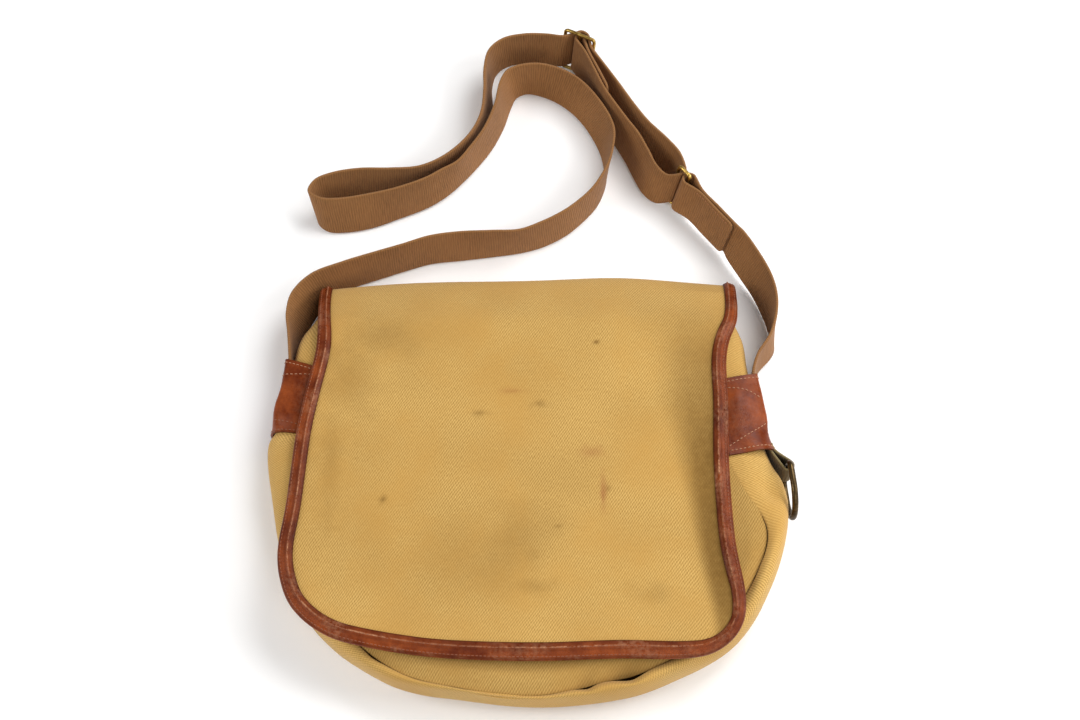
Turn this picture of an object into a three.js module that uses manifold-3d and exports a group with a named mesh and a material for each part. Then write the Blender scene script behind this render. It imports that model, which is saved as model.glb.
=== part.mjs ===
// A canvas shoulder bag lying on its back: leather-bound flap, strap tabs, webbing strap and net ring.
// Millimetres. +Z is up and out of the bag's front, +Y is the bag's top, the origin is mid-back.
import * as THREE from 'three';
import { mergeVertices } from 'three/addons/utils/BufferGeometryUtils.js';
import Module from 'manifold-3d';

const wasm = await Module();
wasm.setup();

const { clamp, degToRad } = THREE.MathUtils;

// Materials' thicknesses and the gap that sewn pieces keep
const canvas = 2.0;
const leather = 1.8;
const webbing = 2.4;
const gap = 0.4;

// How many flats each piece is cut into
const cuts = {
  gussetRound: 52,
  gussetGirth: 10,
  backRound: 56,
  backTop: 12,
  panelAcross: 18,
  panelDown: 16,
  flapAcross: 20,
  flapDown: 16,
  flapFold: 7,
  tabAlong: 6,
  tabWall: 4,
  tabSlope: 5,
  strapPerRow: 2,
  turn: 8,
  corner: 4,
  ringBow: 14,
  wire: 10,
};

// Gusset: one row for each section round the U from the left of the mouth to the right of the mouth.
// seam is the front seam, side is the widest line, square runs from 0.55 (round) to 0.9 (boxed),
// crest is how far the roll stands above the seam.
const gussetRows = [
  { seamX: -157, seamY: 157, seamZ: 26, sideX: -178, sideY: 151, sideZ: 15, square: 0.55, crest: 0 },
  { seamX: -160, seamY: 128, seamZ: 36, sideX: -187, sideY: 131, sideZ: 20, square: 0.65, crest: 0 },
  { seamX: -162, seamY: 101, seamZ: 41, sideX: -191, sideY: 110, sideZ: 22, square: 0.75, crest: 0 },
  { seamX: -165, seamY: 70, seamZ: 43, sideX: -192.5, sideY: 79, sideZ: 23, square: 0.8, crest: 0 },
  { seamX: -168, seamY: 41, seamZ: 44, sideX: -202, sideY: 47, sideZ: 24, square: 0.75, crest: 0 },
  { seamX: -169.5, seamY: 14, seamZ: 44, sideX: -207, sideY: 25, sideZ: 24, square: 0.6, crest: 1 },
  { seamX: -165, seamY: -56, seamZ: 44, sideX: -190, sideY: -60, sideZ: 24, square: 0.6, crest: 1 },
  { seamX: -147, seamY: -108, seamZ: 43, sideX: -162, sideY: -115, sideZ: 23, square: 0.6, crest: 1 },
  { seamX: -100, seamY: -149, seamZ: 41, sideX: -108, sideY: -154, sideZ: 21, square: 0.6, crest: 2 },
  { seamX: -48, seamY: -163, seamZ: 39, sideX: -50, sideY: -166, sideZ: 20, square: 0.6, crest: 2 },
  { seamX: 6, seamY: -168, seamZ: 38, sideX: 8, sideY: -172, sideZ: 20, square: 0.6, crest: 3 },
  { seamX: 56, seamY: -158, seamZ: 39, sideX: 62, sideY: -168, sideZ: 20, square: 0.6, crest: 6 },
  { seamX: 98, seamY: -146, seamZ: 41, sideX: 106, sideY: -155, sideZ: 21, square: 0.6, crest: 4 },
  { seamX: 144, seamY: -118, seamZ: 43, sideX: 157, sideY: -125, sideZ: 23, square: 0.6, crest: 3 },
  { seamX: 170, seamY: -82, seamZ: 44, sideX: 187, sideY: -78, sideZ: 24, square: 0.6, crest: 5 },
  { seamX: 183, seamY: -42, seamZ: 44, sideX: 201.5, sideY: -31, sideZ: 24, square: 0.6, crest: 3 },
  { seamX: 166, seamY: -8, seamZ: 44, sideX: 201, sideY: 1, sideZ: 24, square: 0.65, crest: 0 },
  { seamX: 152, seamY: 26, seamZ: 44, sideX: 188, sideY: 33, sideZ: 24, square: 0.75, crest: 0 },
  { seamX: 150, seamY: 60, seamZ: 43, sideX: 181.5, sideY: 66, sideZ: 23, square: 0.8, crest: 0 },
  { seamX: 149, seamY: 92, seamZ: 41, sideX: 178, sideY: 98, sideZ: 22, square: 0.8, crest: 0 },
  { seamX: 150, seamY: 126, seamZ: 36, sideX: 176, sideY: 128, sideZ: 20, square: 0.65, crest: 0 },
  { seamX: 152, seamY: 160, seamZ: 26, sideX: 168, sideY: 154, sideZ: 15, square: 0.55, crest: 0 },
];
const cornerLeftRow = 7;
const cornerRightRow = 13;
const footShare = 0.5; // the back seam lies inside the widest line by this share of the bulge
const footInset = 12;
const crestReach = 1.6; // how much more the roll stands up beside the seam than farther out
const seamTurn = 2.2; // the gusset's edge stops this far short of the front panel's edge
const gussetFloor = canvas + gap; // the gusset starts just above the back panel
const backMargin = 3; // the back panel reaches this far past the gusset's foot

// Front panel: how far its middle sinks below its seams
const frontSink = 1.5;

// Flap: its free edge from the left end of the fold, round the bottom, to the right end
const flapEdgeRows = [
  { x: -172, y: 165, z: 31 },
  { x: -170, y: 140, z: 43 },
  { x: -169, y: 110, z: 49 },
  { x: -175, y: 72, z: 50.5 },
  { x: -180, y: 37, z: 51 },
  { x: -184, y: -22, z: 51 },
  { x: -188, y: -58, z: 50 },
  { x: -185, y: -82, z: 50 },
  { x: -175, y: -104, z: 50 },
  { x: -154, y: -122, z: 50 },
  { x: -126, y: -132, z: 50 },
  { x: -70, y: -141, z: 50 },
  { x: 0, y: -144, z: 50.5 },
  { x: 66, y: -142, z: 50 },
  { x: 112, y: -142, z: 49.5 },
  { x: 138, y: -137, z: 49 },
  { x: 156, y: -121, z: 50.5 },
  { x: 161, y: -97, z: 52.5 },
  { x: 155, y: -52, z: 54.5 },
  { x: 153.5, y: 10, z: 54.5 },
  { x: 155.5, y: 61, z: 53 },
  { x: 156, y: 98, z: 50 },
  { x: 160, y: 120, z: 46.5 },
  { x: 168, y: 142, z: 42.5 },
  { x: 170, y: 169, z: 31 },
];
const flapCornerLeftRow = 8;
const flapCornerRightRow = 16;
const flapSink = 4; // how far its middle lies below its stiff edges
const foldRadius = 14;
const foldHeight = 17;
const foldMiddleY = 175; // the fold's axis at the middle of the flap
const foldTurn = 2; // its lean from left to right
const foldBow = 8; // how far its ends drop behind its middle

// Binding: a folded leather strip with a slot for the flap's edge
const bindingWidth = 12;
const bindingSlot = 1.1; // room on each side of the flap inside the fold

// Strap tabs: places in the gusset table that they lie between
const tabLeft = { name: 'strap_tab_left', first: 2.2, last: 4.2 };
const tabRight = { name: 'strap_tab_right', first: 16.8, last: 18.8 };
const tabLap = 0.7; // rows of the table between the strap's end and the tab's lower edge
const tabFoot = 3;
const tabBend = 1.5; // inside radius over the strap's upper edge
const tabSag = 1.2; // how far the leather swells between the strap and the seam
const tabSeamGap = 2;
const strapClear = 0.7; // between the strap's end, the gusset and the tab

// Strap: the lower edge stands on the floor at x, y, and the upper edge leans by leanX, leanY
const strapWidth = 38;
const strapFloor = 1.3;
const strapLift = 1.6; // under the tabs
const longRunRows = [
  { x: -194, y: 131, leanX: -2, leanY: 0 },
  { x: -191, y: 150, leanX: -8, leanY: 1 },
  { x: -184, y: 167, leanX: -12, leanY: 4 },
  { x: -172, y: 181.5, leanX: -9, leanY: 6 },
  { x: -151, y: 192, leanX: -5, leanY: 5 },
  { x: -128, y: 201, leanX: -2, leanY: 5 },
  { x: -106, y: 209, leanX: 0, leanY: 5 },
  { x: -84, y: 216, leanX: 0, leanY: 6 },
  { x: -60, y: 219, leanX: 0, leanY: 7 },
  { x: -31, y: 223, leanX: -1, leanY: 4 },
  { x: -7, y: 227, leanX: -1, leanY: 1 },
  { x: 12, y: 233, leanX: -3, leanY: 2 },
  { x: 31, y: 244, leanX: -4, leanY: 1 },
  { x: 46, y: 258, leanX: -5, leanY: -2 },
  { x: 59, y: 275, leanX: -4, leanY: -4 },
  { x: 66, y: 297, leanX: 1, leanY: -4 },
  { x: 65, y: 318, leanX: 7, leanY: -6 },
  { x: 59, y: 337, leanX: 14, leanY: -3 },
  { x: 45, y: 362, leanX: 15, leanY: 1 },
  { x: 28, y: 379, leanX: 11, leanY: 8 },
  { x: 9, y: 389, leanX: 4, leanY: 9 },
  { x: -4, y: 391, leanX: -3, leanY: 6 },
  { x: -13, y: 386, leanX: -7, leanY: 5 },
  { x: -18, y: 374, leanX: -8, leanY: 5 },
  { x: -24, y: 354, leanX: -6, leanY: 3 },
  { x: -34, y: 332, leanX: -5, leanY: -1 },
  { x: -46, y: 314, leanX: -5, leanY: -3 },
  { x: -58, y: 299, leanX: -4, leanY: -3 },
  { x: -71, y: 285, leanX: -4, leanY: 3 },
  { x: -87, y: 273, leanX: -1, leanY: 7 },
  { x: -113, y: 261, leanX: 0, leanY: 9 },
  { x: -138, y: 251, leanX: -1, leanY: 13 },
  { x: -160, y: 247, leanX: -3, leanY: 13 },
  { x: -174, y: 248, leanX: -4, leanY: 13 },
  { x: -182, y: 256, leanX: -6, leanY: 12 },
  { x: -180, y: 268, leanX: -3, leanY: 10 },
  { x: -169, y: 276, leanX: 1, leanY: 9 },
  { x: -147, y: 281, leanX: 2, leanY: 8 },
  { x: -121, y: 283, leanX: 2, leanY: 6 },
  { x: -96, y: 288, leanX: 2, leanY: 3 },
  { x: -72, y: 300, leanX: -2, leanY: 1 },
  { x: -54, y: 316, leanX: -4, leanY: 0 },
  { x: -43, y: 332, leanX: -5, leanY: -1 },
  { x: -36, y: 350, leanX: -6, leanY: -2 },
  { x: -34, y: 374, leanX: -6, leanY: -3 },
  { x: -35, y: 396, leanX: -5, leanY: -2 },
  { x: -31, y: 412, leanX: -5, leanY: 1 },
  { x: -21, y: 421, leanX: -3, leanY: 4 },
  { x: -4, y: 425, leanX: 0, leanY: 5 },
  { x: 13, y: 424, leanX: 2, leanY: 6 },
];
const outerRunRows = [
  { x: 61, y: 393, leanX: 4, leanY: 6 },
  { x: 72, y: 372, leanX: 6, leanY: 6 },
  { x: 84, y: 350, leanX: 7, leanY: 6 },
  { x: 96, y: 332, leanX: 7, leanY: 6 },
  { x: 111, y: 315, leanX: 7, leanY: 6 },
  { x: 122, y: 300, leanX: 7, leanY: 6 },
];
const returnRunRows = [
  { x: 110, y: 277, leanX: 8, leanY: 6 },
  { x: 100, y: 285, leanX: 9, leanY: 8 },
  { x: 92, y: 301, leanX: 10, leanY: 9 },
  { x: 85, y: 318, leanX: 9, leanY: 9 },
  { x: 77, y: 334, leanX: 7, leanY: 8 },
];
const shortRunRows = [
  { x: 165, y: 220, leanX: 11, leanY: 6 },
  { x: 177, y: 201, leanX: 12, leanY: 6 },
  { x: 189, y: 184, leanX: 11, leanY: 4 },
  { x: 196, y: 167, leanX: 8, leanY: 3 },
  { x: 201, y: 150, leanX: 2, leanY: 1 },
  { x: 203, y: 131, leanX: -6, leanY: 0 },
  { x: 188, y: 111, leanX: -3, leanY: 0, lift: strapLift },
];

// Slider and loop: where each stands, which way the strap runs through it, and how it leans
const barRadius = 1.6;
const cornerRadius = 3;
const edgeClear = 1.0; // between the strap's edges and the wires beside them
const hardwareWidth = strapWidth + 2 * (edgeClear + barRadius); // between the wires' centres at those edges
const slider = { x: 41, y: 416, alongX: 0.9, alongY: -0.436, leanX: 3.05, leanY: 6.3, pitch: 14 };
const sliderTail = { ...slider, alongX: 0.389, alongY: -0.921 }; // the way the sewn end leaves the slider
const loop = { x: 124, y: 275, alongX: 0.62, alongY: -0.785, leanX: 7.07, leanY: 5.58, pitch: 13.5 };
const sliderWeave = [
  { along: -14, across: -4.6 },
  { along: -7, across: 2 },
  { along: -1.5, across: 7.2 },
  { along: 4.5, across: 6.4 },
  { along: 9.5, across: 0.6 },
  { along: 14, across: -5 },
];
const sewnEnd = 58; // how much of each strap's end is folded back and sewn
const sewnTurn = { from: -84, to: -276 }; // degrees round the bar that a folded end turns through
const loopTurn = { from: 52, to: -28 }; // and that the running strap turns through in the loop

// Keeper and net ring: the ring's straight bar stands upright in the keeper
const ringBar = { x: 204, y: 15, z: 26 };
const ringHeading = -85; // degrees in plan, the way the bow points at rest
const ringWire = 2.5;
const ringHeight = 41; // between the wire's centres at the two ends of the bar
const ringDepth = 38; // from the bar's centre to the bow's centre line
const ringCorner = 6;
const keeperWidth = 24;
const keeperTape = 1.8;
const keeperSlack = 0.6;
const keeperTurn = { from: 60, to: -180 }; // degrees round the ring's bar
const keeperRoot = { x: 196.4, y: 25 }; // where both ends of the tape meet the tab's lower edge
const keeperLift = ringBar.z - keeperWidth / 2;

// A smooth curve through rows of a table, one coordinate triple for each row
function tableCurve(rows, columns) {
  const points = rows.map((row) => new THREE.Vector3(...columns.map((column) => row[column])));
  return new THREE.CatmullRomCurve3(points, false, 'catmullrom', 0.5);
}

// The stretch of a curve between two of its rows, run from 0 to 1
function stretch(curve, rowCount, first, last) {
  const start = first / (rowCount - 1);
  const end = last / (rowCount - 1);
  return (t) => curve.getPoint(start + (end - start) * t);
}

// A closed solid between two grids of points that face each other
function solidBetween(outer, inner) {
  const rows = outer.length;
  const columns = outer[0].length;
  const last = columns - 1;
  const points = [...outer.flat(), ...inner.flat()];
  const faces = [];
  const id = (side, i, j) => side * rows * columns + i * columns + j;
  const quad = (a, b, c, d) => faces.push(a, b, c, a, c, d);
  for (let i = 0; i < rows - 1; i += 1) {
    for (let j = 0; j < last; j += 1) {
      quad(id(0, i, j), id(0, i, j + 1), id(0, i + 1, j + 1), id(0, i + 1, j));
      quad(id(1, i, j), id(1, i + 1, j), id(1, i + 1, j + 1), id(1, i, j + 1));
    }
  }
  for (let j = 0; j < last; j += 1) {
    quad(id(0, 0, j), id(1, 0, j), id(1, 0, j + 1), id(0, 0, j + 1));
    quad(id(0, rows - 1, j), id(0, rows - 1, j + 1), id(1, rows - 1, j + 1), id(1, rows - 1, j));
  }
  for (let i = 0; i < rows - 1; i += 1) {
    quad(id(0, i, 0), id(0, i + 1, 0), id(1, i + 1, 0), id(1, i, 0));
    quad(id(0, i, last), id(1, i, last), id(1, i + 1, last), id(0, i + 1, last));
  }
  return closedGeometry(points, faces);
}

// A closed ring of sections, each a loop of points, with flat ends
function solidAlong(sections) {
  const count = sections[0].length;
  const points = sections.flat();
  const faces = [];
  for (let i = 0; i < sections.length - 1; i += 1) {
    for (let j = 0; j < count; j += 1) {
      const next = (j + 1) % count;
      const a = i * count + j;
      const b = i * count + next;
      faces.push(a, b, b + count, a, b + count, a + count);
    }
  }
  const cap = THREE.ShapeUtils.triangulateShape(flatten(sections[0]), []);
  const last = (sections.length - 1) * count;
  cap.forEach(([a, b, c]) => faces.push(a, c, b, last + a, last + b, last + c));
  return closedGeometry(points, faces);
}

// A planar loop of points drawn in its own plane
function flatten(loopPoints) {
  const xAxis = loopPoints[1].clone().sub(loopPoints[0]).normalize();
  const normal = new THREE.Vector3();
  loopPoints.forEach((point, i) => {
    const next = loopPoints[(i + 1) % loopPoints.length];
    normal.add(point.clone().sub(loopPoints[0]).cross(next.clone().sub(loopPoints[0])));
  });
  const yAxis = normal.normalize().cross(xAxis);
  return loopPoints.map((point) => {
    const offset = point.clone().sub(loopPoints[0]);
    return new THREE.Vector2(offset.dot(xAxis), offset.dot(yAxis));
  });
}

// A geometry with shared corners merged and its faces turned outward
function closedGeometry(points, faces) {
  const raw = new THREE.BufferGeometry();
  const places = points.flatMap((point) => point.toArray());
  raw.setAttribute('position', new THREE.Float32BufferAttribute(places, 3));
  raw.setIndex(faces);
  const geometry = mergeVertices(raw, 1e-3);
  if (signedVolume(geometry) < 0) {
    const index = geometry.getIndex().array;
    for (let i = 0; i < index.length; i += 3) {
      [index[i], index[i + 1]] = [index[i + 1], index[i]];
    }
  }
  geometry.computeVertexNormals();
  return geometry;
}

function signedVolume(geometry) {
  const position = geometry.getAttribute('position');
  const index = geometry.getIndex().array;
  const corner = (i) => new THREE.Vector3().fromBufferAttribute(position, index[i]);
  let volume = 0;
  for (let i = 0; i < index.length; i += 3) {
    volume += corner(i).dot(corner(i + 1).cross(corner(i + 2))) / 6;
  }
  return volume;
}

// A wall on a surface: near and far are its two faces' distances out along the surface's normal
function wall(surface, uSteps, vSteps, near, far) {
  const outer = [];
  const inner = [];
  const aside = (list, value, step) => clamp(value + step, list[0], list[list.length - 1]);
  const small = 1e-3;
  vSteps.forEach((v) => {
    const outerRow = [];
    const innerRow = [];
    uSteps.forEach((u) => {
      const point = surface(u, v);
      const alongU = surface(aside(uSteps, u, small), v).sub(surface(aside(uSteps, u, -small), v));
      const alongV = surface(u, aside(vSteps, v, small)).sub(surface(u, aside(vSteps, v, -small)));
      const normal = alongU.cross(alongV).normalize();
      outerRow.push(point.clone().addScaledVector(normal, far));
      innerRow.push(point.clone().addScaledVector(normal, near));
    });
    outer.push(outerRow);
    inner.push(innerRow);
  });
  return solidBetween(outer, inner);
}

function steps(from, to, count) {
  return Array.from({ length: count + 1 }, (_, i) => from + ((to - from) * i) / count);
}

// A patch between four edges, each running from 0 to 1
function patch(top, bottom, left, right) {
  return (u, v) => {
    const point = top(u).multiplyScalar(1 - v).addScaledVector(bottom(u), v);
    point.addScaledVector(left(v), 1 - u).addScaledVector(right(v), u);
    point.addScaledVector(top(0), -(1 - u) * (1 - v)).addScaledVector(top(1), -u * (1 - v));
    return point.addScaledVector(bottom(0), -(1 - u) * v).addScaledVector(bottom(1), -u * v);
  };
}

// Gusset: its section runs from the back seam (v = 0), out to the widest line (v = 0.5), to the front seam
const seamCurve = tableCurve(gussetRows, ['seamX', 'seamY', 'seamZ']);
const sideCurve = tableCurve(gussetRows, ['sideX', 'sideY', 'sideZ']);
const formCurve = tableCurve(gussetRows, ['square', 'crest', 'seamZ']);

function gussetSection(u) {
  const seam = seamCurve.getPoint(u);
  const side = sideCurve.getPoint(u);
  const form = formCurve.getPoint(u);
  const out = side.clone().sub(seam).setZ(0);
  const outward = out.clone().normalize();
  const foot = side.clone().addScaledVector(out, -footShare).addScaledVector(outward, -footInset);
  foot.setZ(gussetFloor);
  seam.addScaledVector(outward, seamTurn);
  return { seam, side, out, outward, foot, square: form.x, crest: form.y };
}

function gussetSurface(u, v) {
  const { seam, side, out, foot, square, crest } = gussetSection(u);
  if (v < 0.5) {
    const nearFoot = foot.clone().lerp(side, square).setZ(foot.z);
    const nearSide = side.clone().setZ(side.z - (side.z - foot.z) * square);
    return new THREE.CubicBezierCurve3(foot, nearFoot, nearSide, side).getPoint(v * 2);
  }
  const overSide = side.clone().setZ(side.z + (seam.z - side.z) * square + crest);
  const overSeam = seam.clone().addScaledVector(out, square).setZ(seam.z + crest * crestReach);
  return new THREE.CubicBezierCurve3(side, overSide, overSeam, seam).getPoint(v * 2 - 1);
}

function makeGusset() {
  return wall(gussetSurface, steps(0, 1, cuts.gussetRound), steps(0, 1, cuts.gussetGirth), -canvas, 0);
}

// Back panel: a flat plate from the fold's line down to the gusset's foot
function foldAxisY(across) {
  return foldMiddleY + foldTurn * across - foldBow * across * across;
}

function flapTop(u) {
  const left = flapEdgeRows[0];
  const right = flapEdgeRows[flapEdgeRows.length - 1];
  const across = u * 2 - 1;
  return new THREE.Vector3(left.x + (right.x - left.x) * u, foldAxisY(across), foldHeight + foldRadius);
}

function makeBackPanel() {
  const outline = new THREE.Shape();
  steps(0, 1, cuts.backRound).forEach((u, i) => {
    const { foot, outward } = gussetSection(u);
    const point = foot.clone().addScaledVector(outward, backMargin);
    if (i === 0) {
      outline.moveTo(point.x, point.y);
    } else {
      outline.lineTo(point.x, point.y);
    }
  });
  steps(1, 0, cuts.backTop).forEach((u) => {
    const point = flapTop(u);
    outline.lineTo(point.x, point.y - gap);
  });
  outline.closePath();
  return new THREE.ExtrudeGeometry(outline, { depth: canvas, bevelEnabled: false });
}

// Front panel: a slack sheet between the mouth and the front seam
function sink(u, v, depth) {
  return depth * Math.sin(Math.PI * u) * Math.sin(Math.PI * v);
}

function makeFrontPanel() {
  const last = gussetRows.length - 1;
  const count = gussetRows.length;
  const left = stretch(seamCurve, count, 0, cornerLeftRow);
  const right = stretch(seamCurve, count, last, cornerRightRow);
  const bottom = stretch(seamCurve, count, cornerLeftRow, cornerRightRow);
  const top = (u) => left(0).lerp(right(0), u);
  const flat = patch(top, bottom, left, right);
  const surface = (u, v) => {
    const point = flat(u, v);
    point.z -= sink(u, v, frontSink);
    return point;
  };
  return wall(surface, steps(0, 1, cuts.panelAcross), steps(0, 1, cuts.panelDown), 0, -canvas);
}

// Flap: v from 0 to 1 is the front, v from -1 to 0 is the turn over the fold to the back panel
const flapEdge = tableCurve(flapEdgeRows, ['x', 'y', 'z']);

function makeFlapSurface() {
  const last = flapEdgeRows.length - 1;
  const count = flapEdgeRows.length;
  const left = stretch(flapEdge, count, 0, flapCornerLeftRow);
  const right = stretch(flapEdge, count, last, flapCornerRightRow);
  const bottom = stretch(flapEdge, count, flapCornerLeftRow, flapCornerRightRow);
  const front = patch(flapTop, bottom, left, right);
  return (u, v) => {
    if (v < 0) {
      const angle = (Math.PI / 2) * (1 + 2 * v);
      const point = flapTop(u);
      point.y += foldRadius * Math.cos(angle);
      point.z = foldHeight + foldRadius * Math.sin(angle);
      return point;
    }
    const point = front(u, v);
    point.z -= sink(u, v, flapSink);
    return point;
  };
}

const flapSurface = makeFlapSurface();

function makeFlap() {
  const rows = [...steps(-1, 0, cuts.flapFold), ...steps(0, 1, cuts.flapDown).slice(1)];
  return wall(flapSurface, steps(0, 1, cuts.flapAcross), rows, canvas / 2, -canvas / 2);
}

// Binding: the flap's edge walked from the fold, with the way inward across the flap at each step
function flapEdgeWalk() {
  const small = 0.03;
  const walk = [];
  const add = (u, v, inU, inV) => {
    const point = flapSurface(u, v);
    const inside = flapSurface(u + inU * small, v + inV * small).sub(point);
    walk.push({ point, inside });
  };
  const foldRows = steps(-1, 0, cuts.flapFold).slice(1); // it stops a little short of the back panel
  const sideRows = [...foldRows, ...steps(0, 1, cuts.flapDown).slice(1, -1)];
  sideRows.forEach((v) => add(0, v, 1, 0));
  add(0, 1, 1, -1);
  steps(0, 1, cuts.flapAcross).slice(1, -1).forEach((u) => add(u, 1, 0, -1));
  add(1, 1, -1, -1);
  sideRows.reverse().forEach((v) => add(1, v, -1, 0));
  return walk;
}

function makeBinding() {
  const walk = flapEdgeWalk();
  const slot = canvas / 2 + bindingSlot;
  const half = slot + leather;
  const profile = [
    { inward: bindingWidth, up: half },
    { inward: -gap, up: half },
    { inward: -gap - leather, up: slot },
    { inward: -gap - leather, up: -slot },
    { inward: -gap, up: -half },
    { inward: bindingWidth, up: -half },
    { inward: bindingWidth, up: -slot },
    { inward: -gap, up: -slot },
    { inward: -gap, up: slot },
    { inward: bindingWidth, up: slot },
  ];
  const sections = walk.map(({ point, inside }, i) => {
    const before = walk[Math.max(0, i - 1)].point;
    const after = walk[Math.min(walk.length - 1, i + 1)].point;
    const along = after.clone().sub(before).normalize();
    const inward = inside.clone().addScaledVector(along, -inside.dot(along)).normalize();
    const up = along.clone().cross(inward).negate().normalize();
    return profile.map((corner) =>
      point.clone().addScaledVector(inward, corner.inward).addScaledVector(up, corner.up));
  });
  return solidAlong(sections);
}

// Strap tab: leather down the outer face of the strap's end, over its upper edge and in to the seam
function tabSection(u, depth) {
  const { seam, side, outward } = gussetSection(u);
  const wallX = strapClear + webbing + strapClear + depth; // outside the widest line
  const top = strapLift + strapWidth + strapClear + depth;
  const end = seam.clone().addScaledVector(outward, tabSeamGap).setZ(seam.z + gap + depth);
  const at = (out, z) => side.clone().addScaledVector(outward, out).setZ(z);
  const turn = tabBend + depth;
  const bend = steps(0, 90, cuts.corner).map((degrees) => {
    const angle = degToRad(degrees);
    return at(wallX - turn + turn * Math.cos(angle), top - turn + turn * Math.sin(angle));
  });
  const shoulder = bend[bend.length - 1];
  const slope = steps(0, 1, cuts.tabSlope).slice(1).map((t) => {
    const point = shoulder.clone().lerp(end, t);
    point.z += tabSag * Math.sin(Math.PI * t);
    return point;
  });
  const face = steps(tabFoot, top - turn, cuts.tabWall).slice(0, -1).map((z) => at(wallX, z));
  return [...face, ...bend, ...slope];
}

function makeTab(tab) {
  const last = gussetRows.length - 1;
  const along = steps(tab.first / last, tab.last / last, cuts.tabAlong);
  return solidBetween(along.map((u) => tabSection(u, leather)), along.map((u) => tabSection(u, 0)));
}

// A row of the strap inside a slider or loop, given along the strap and across it
function hardwareRow(piece, along, across) {
  const lift = strapFloor + barRadius * 2 + edgeClear;
  const share = lift / strapWidth;
  return {
    x: piece.x + piece.alongX * along - piece.alongY * across + piece.leanX * share,
    y: piece.y + piece.alongY * along + piece.alongX * across + piece.leanY * share,
    leanX: piece.leanX,
    leanY: piece.leanY,
    lift,
  };
}

// A strap's turn round a bar, from one side of it to the other, given in degrees from the strap's way
function turnRows(piece, along, radius, turn, count) {
  return steps(turn.from, turn.to, count).map((degrees) => {
    const angle = degToRad(degrees);
    return hardwareRow(piece, along + radius * Math.cos(angle), radius * Math.sin(angle));
  });
}

// A strap's end under its tab, between two places in the gusset table
function underTabRows(fromRow, toRow) {
  return steps(fromRow, toRow, 4).map((row) => {
    const { side, outward } = gussetSection(row / (gussetRows.length - 1));
    const point = side.addScaledVector(outward, strapClear + webbing / 2);
    return { x: point.x, y: point.y, leanX: 0, leanY: 0, lift: strapLift };
  });
}

// A strap as a ribbon between its lower and upper edges
function makeStrap(rows, width, thickness) {
  const lower = rows.map((row) => new THREE.Vector3(row.x, row.y, row.lift ?? strapFloor));
  const upper = rows.map((row, i) => {
    const rise = Math.sqrt(width * width - row.leanX ** 2 - row.leanY ** 2);
    return lower[i].clone().add(new THREE.Vector3(row.leanX, row.leanY, rise));
  });
  const lowerCurve = new THREE.CatmullRomCurve3(lower, false, 'centripetal');
  const upperCurve = new THREE.CatmullRomCurve3(upper, false, 'centripetal');
  const sections = steps(0, 1, (rows.length - 1) * cuts.strapPerRow).map((t) => {
    const low = lowerCurve.getPoint(t);
    const high = upperCurve.getPoint(t);
    const rise = high.clone().sub(low);
    const face = (along) => along.cross(rise).normalize().multiplyScalar(thickness / 2);
    const lowFace = face(lowerCurve.getTangent(t));
    const highFace = face(upperCurve.getTangent(t));
    return [low.clone().sub(lowFace), low.clone().add(lowFace), high.clone().add(highFace),
      high.clone().sub(highFace)];
  });
  return solidAlong(sections);
}

const barClear = barRadius + 2 * gap + webbing / 2; // a strap's middle from the bar that it turns round
const loopClear = loop.pitch / 2 - webbing / 2 - gap / 2; // in the loop, where two turns fill the frame
const sewnPitch = webbing + 2 * gap; // between the two layers of a folded end

// A strap's end turned round a bar and folded back, from its running layer to its cut end
function sewnRows(piece, along, radius) {
  const layer = (share, across) => hardwareRow(piece, along + sewnEnd * share, across);
  const shares = [0.25, 0.6, 1];
  return [
    ...[...shares].reverse().map((share) => layer(share, -sewnPitch / 2)),
    ...turnRows(piece, along, radius, sewnTurn, cuts.turn),
    ...shares.map((share) => layer(share, sewnPitch / 2)),
  ];
}

function longStrapRows() {
  return [
    ...underTabRows(tabLeft.last - tabLap, tabLeft.first),
    ...longRunRows,
    ...sliderWeave.map(({ along, across }) => hardwareRow(slider, along, across)),
    ...outerRunRows,
    ...turnRows(loop, -loop.pitch / 2, loopClear, loopTurn, cuts.turn),
    ...returnRunRows,
    ...sewnRows(sliderTail, 0, barClear),
  ];
}

// The short strap is drawn from its cut end
function shortStrapRows() {
  return [
    ...sewnRows(loop, loop.pitch / 2, loopClear),
    ...shortRunRows,
    ...underTabRows(tabRight.last, tabRight.first + tabLap),
  ];
}

// A closed loop of round wire through points in the local xy plane
function wireLoop(points, radius) {
  const rings = points.map((point, i) => {
    const before = points[(i + points.length - 1) % points.length];
    const after = points[(i + 1) % points.length];
    const along = after.clone().sub(before).normalize();
    const across = new THREE.Vector3(along.y, -along.x, 0);
    return steps(0, 360, cuts.wire).slice(0, -1).map((degrees) => {
      const angle = degToRad(degrees);
      const offset = across.clone().multiplyScalar(radius * Math.cos(angle));
      return point.clone().add(offset).add(new THREE.Vector3(0, 0, radius * Math.sin(angle)));
    });
  });
  const faces = [];
  rings.forEach((ring, i) => {
    const next = ((i + 1) % rings.length) * cuts.wire;
    ring.forEach((_, j) => {
      const following = (j + 1) % cuts.wire;
      const a = i * cuts.wire + j;
      const b = i * cuts.wire + following;
      faces.push(a, b, next + following, a, next + following, next + j);
    });
  });
  return closedGeometry(rings.flat(), faces);
}

// The centre line of a rectangle with round corners, as points in the local xy plane
function roundedRectangle(halfX, halfY, corner) {
  const quarters = [
    { x: halfX - corner, y: halfY - corner, from: 0 },
    { x: corner - halfX, y: halfY - corner, from: 90 },
    { x: corner - halfX, y: corner - halfY, from: 180 },
    { x: halfX - corner, y: corner - halfY, from: 270 },
  ];
  return quarters.flatMap(({ x, y, from }) => steps(from, from + 90, cuts.corner).map((degrees) => {
    const angle = degToRad(degrees);
    return new THREE.Vector3(x + corner * Math.cos(angle), y + corner * Math.sin(angle), 0);
  }));
}

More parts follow.
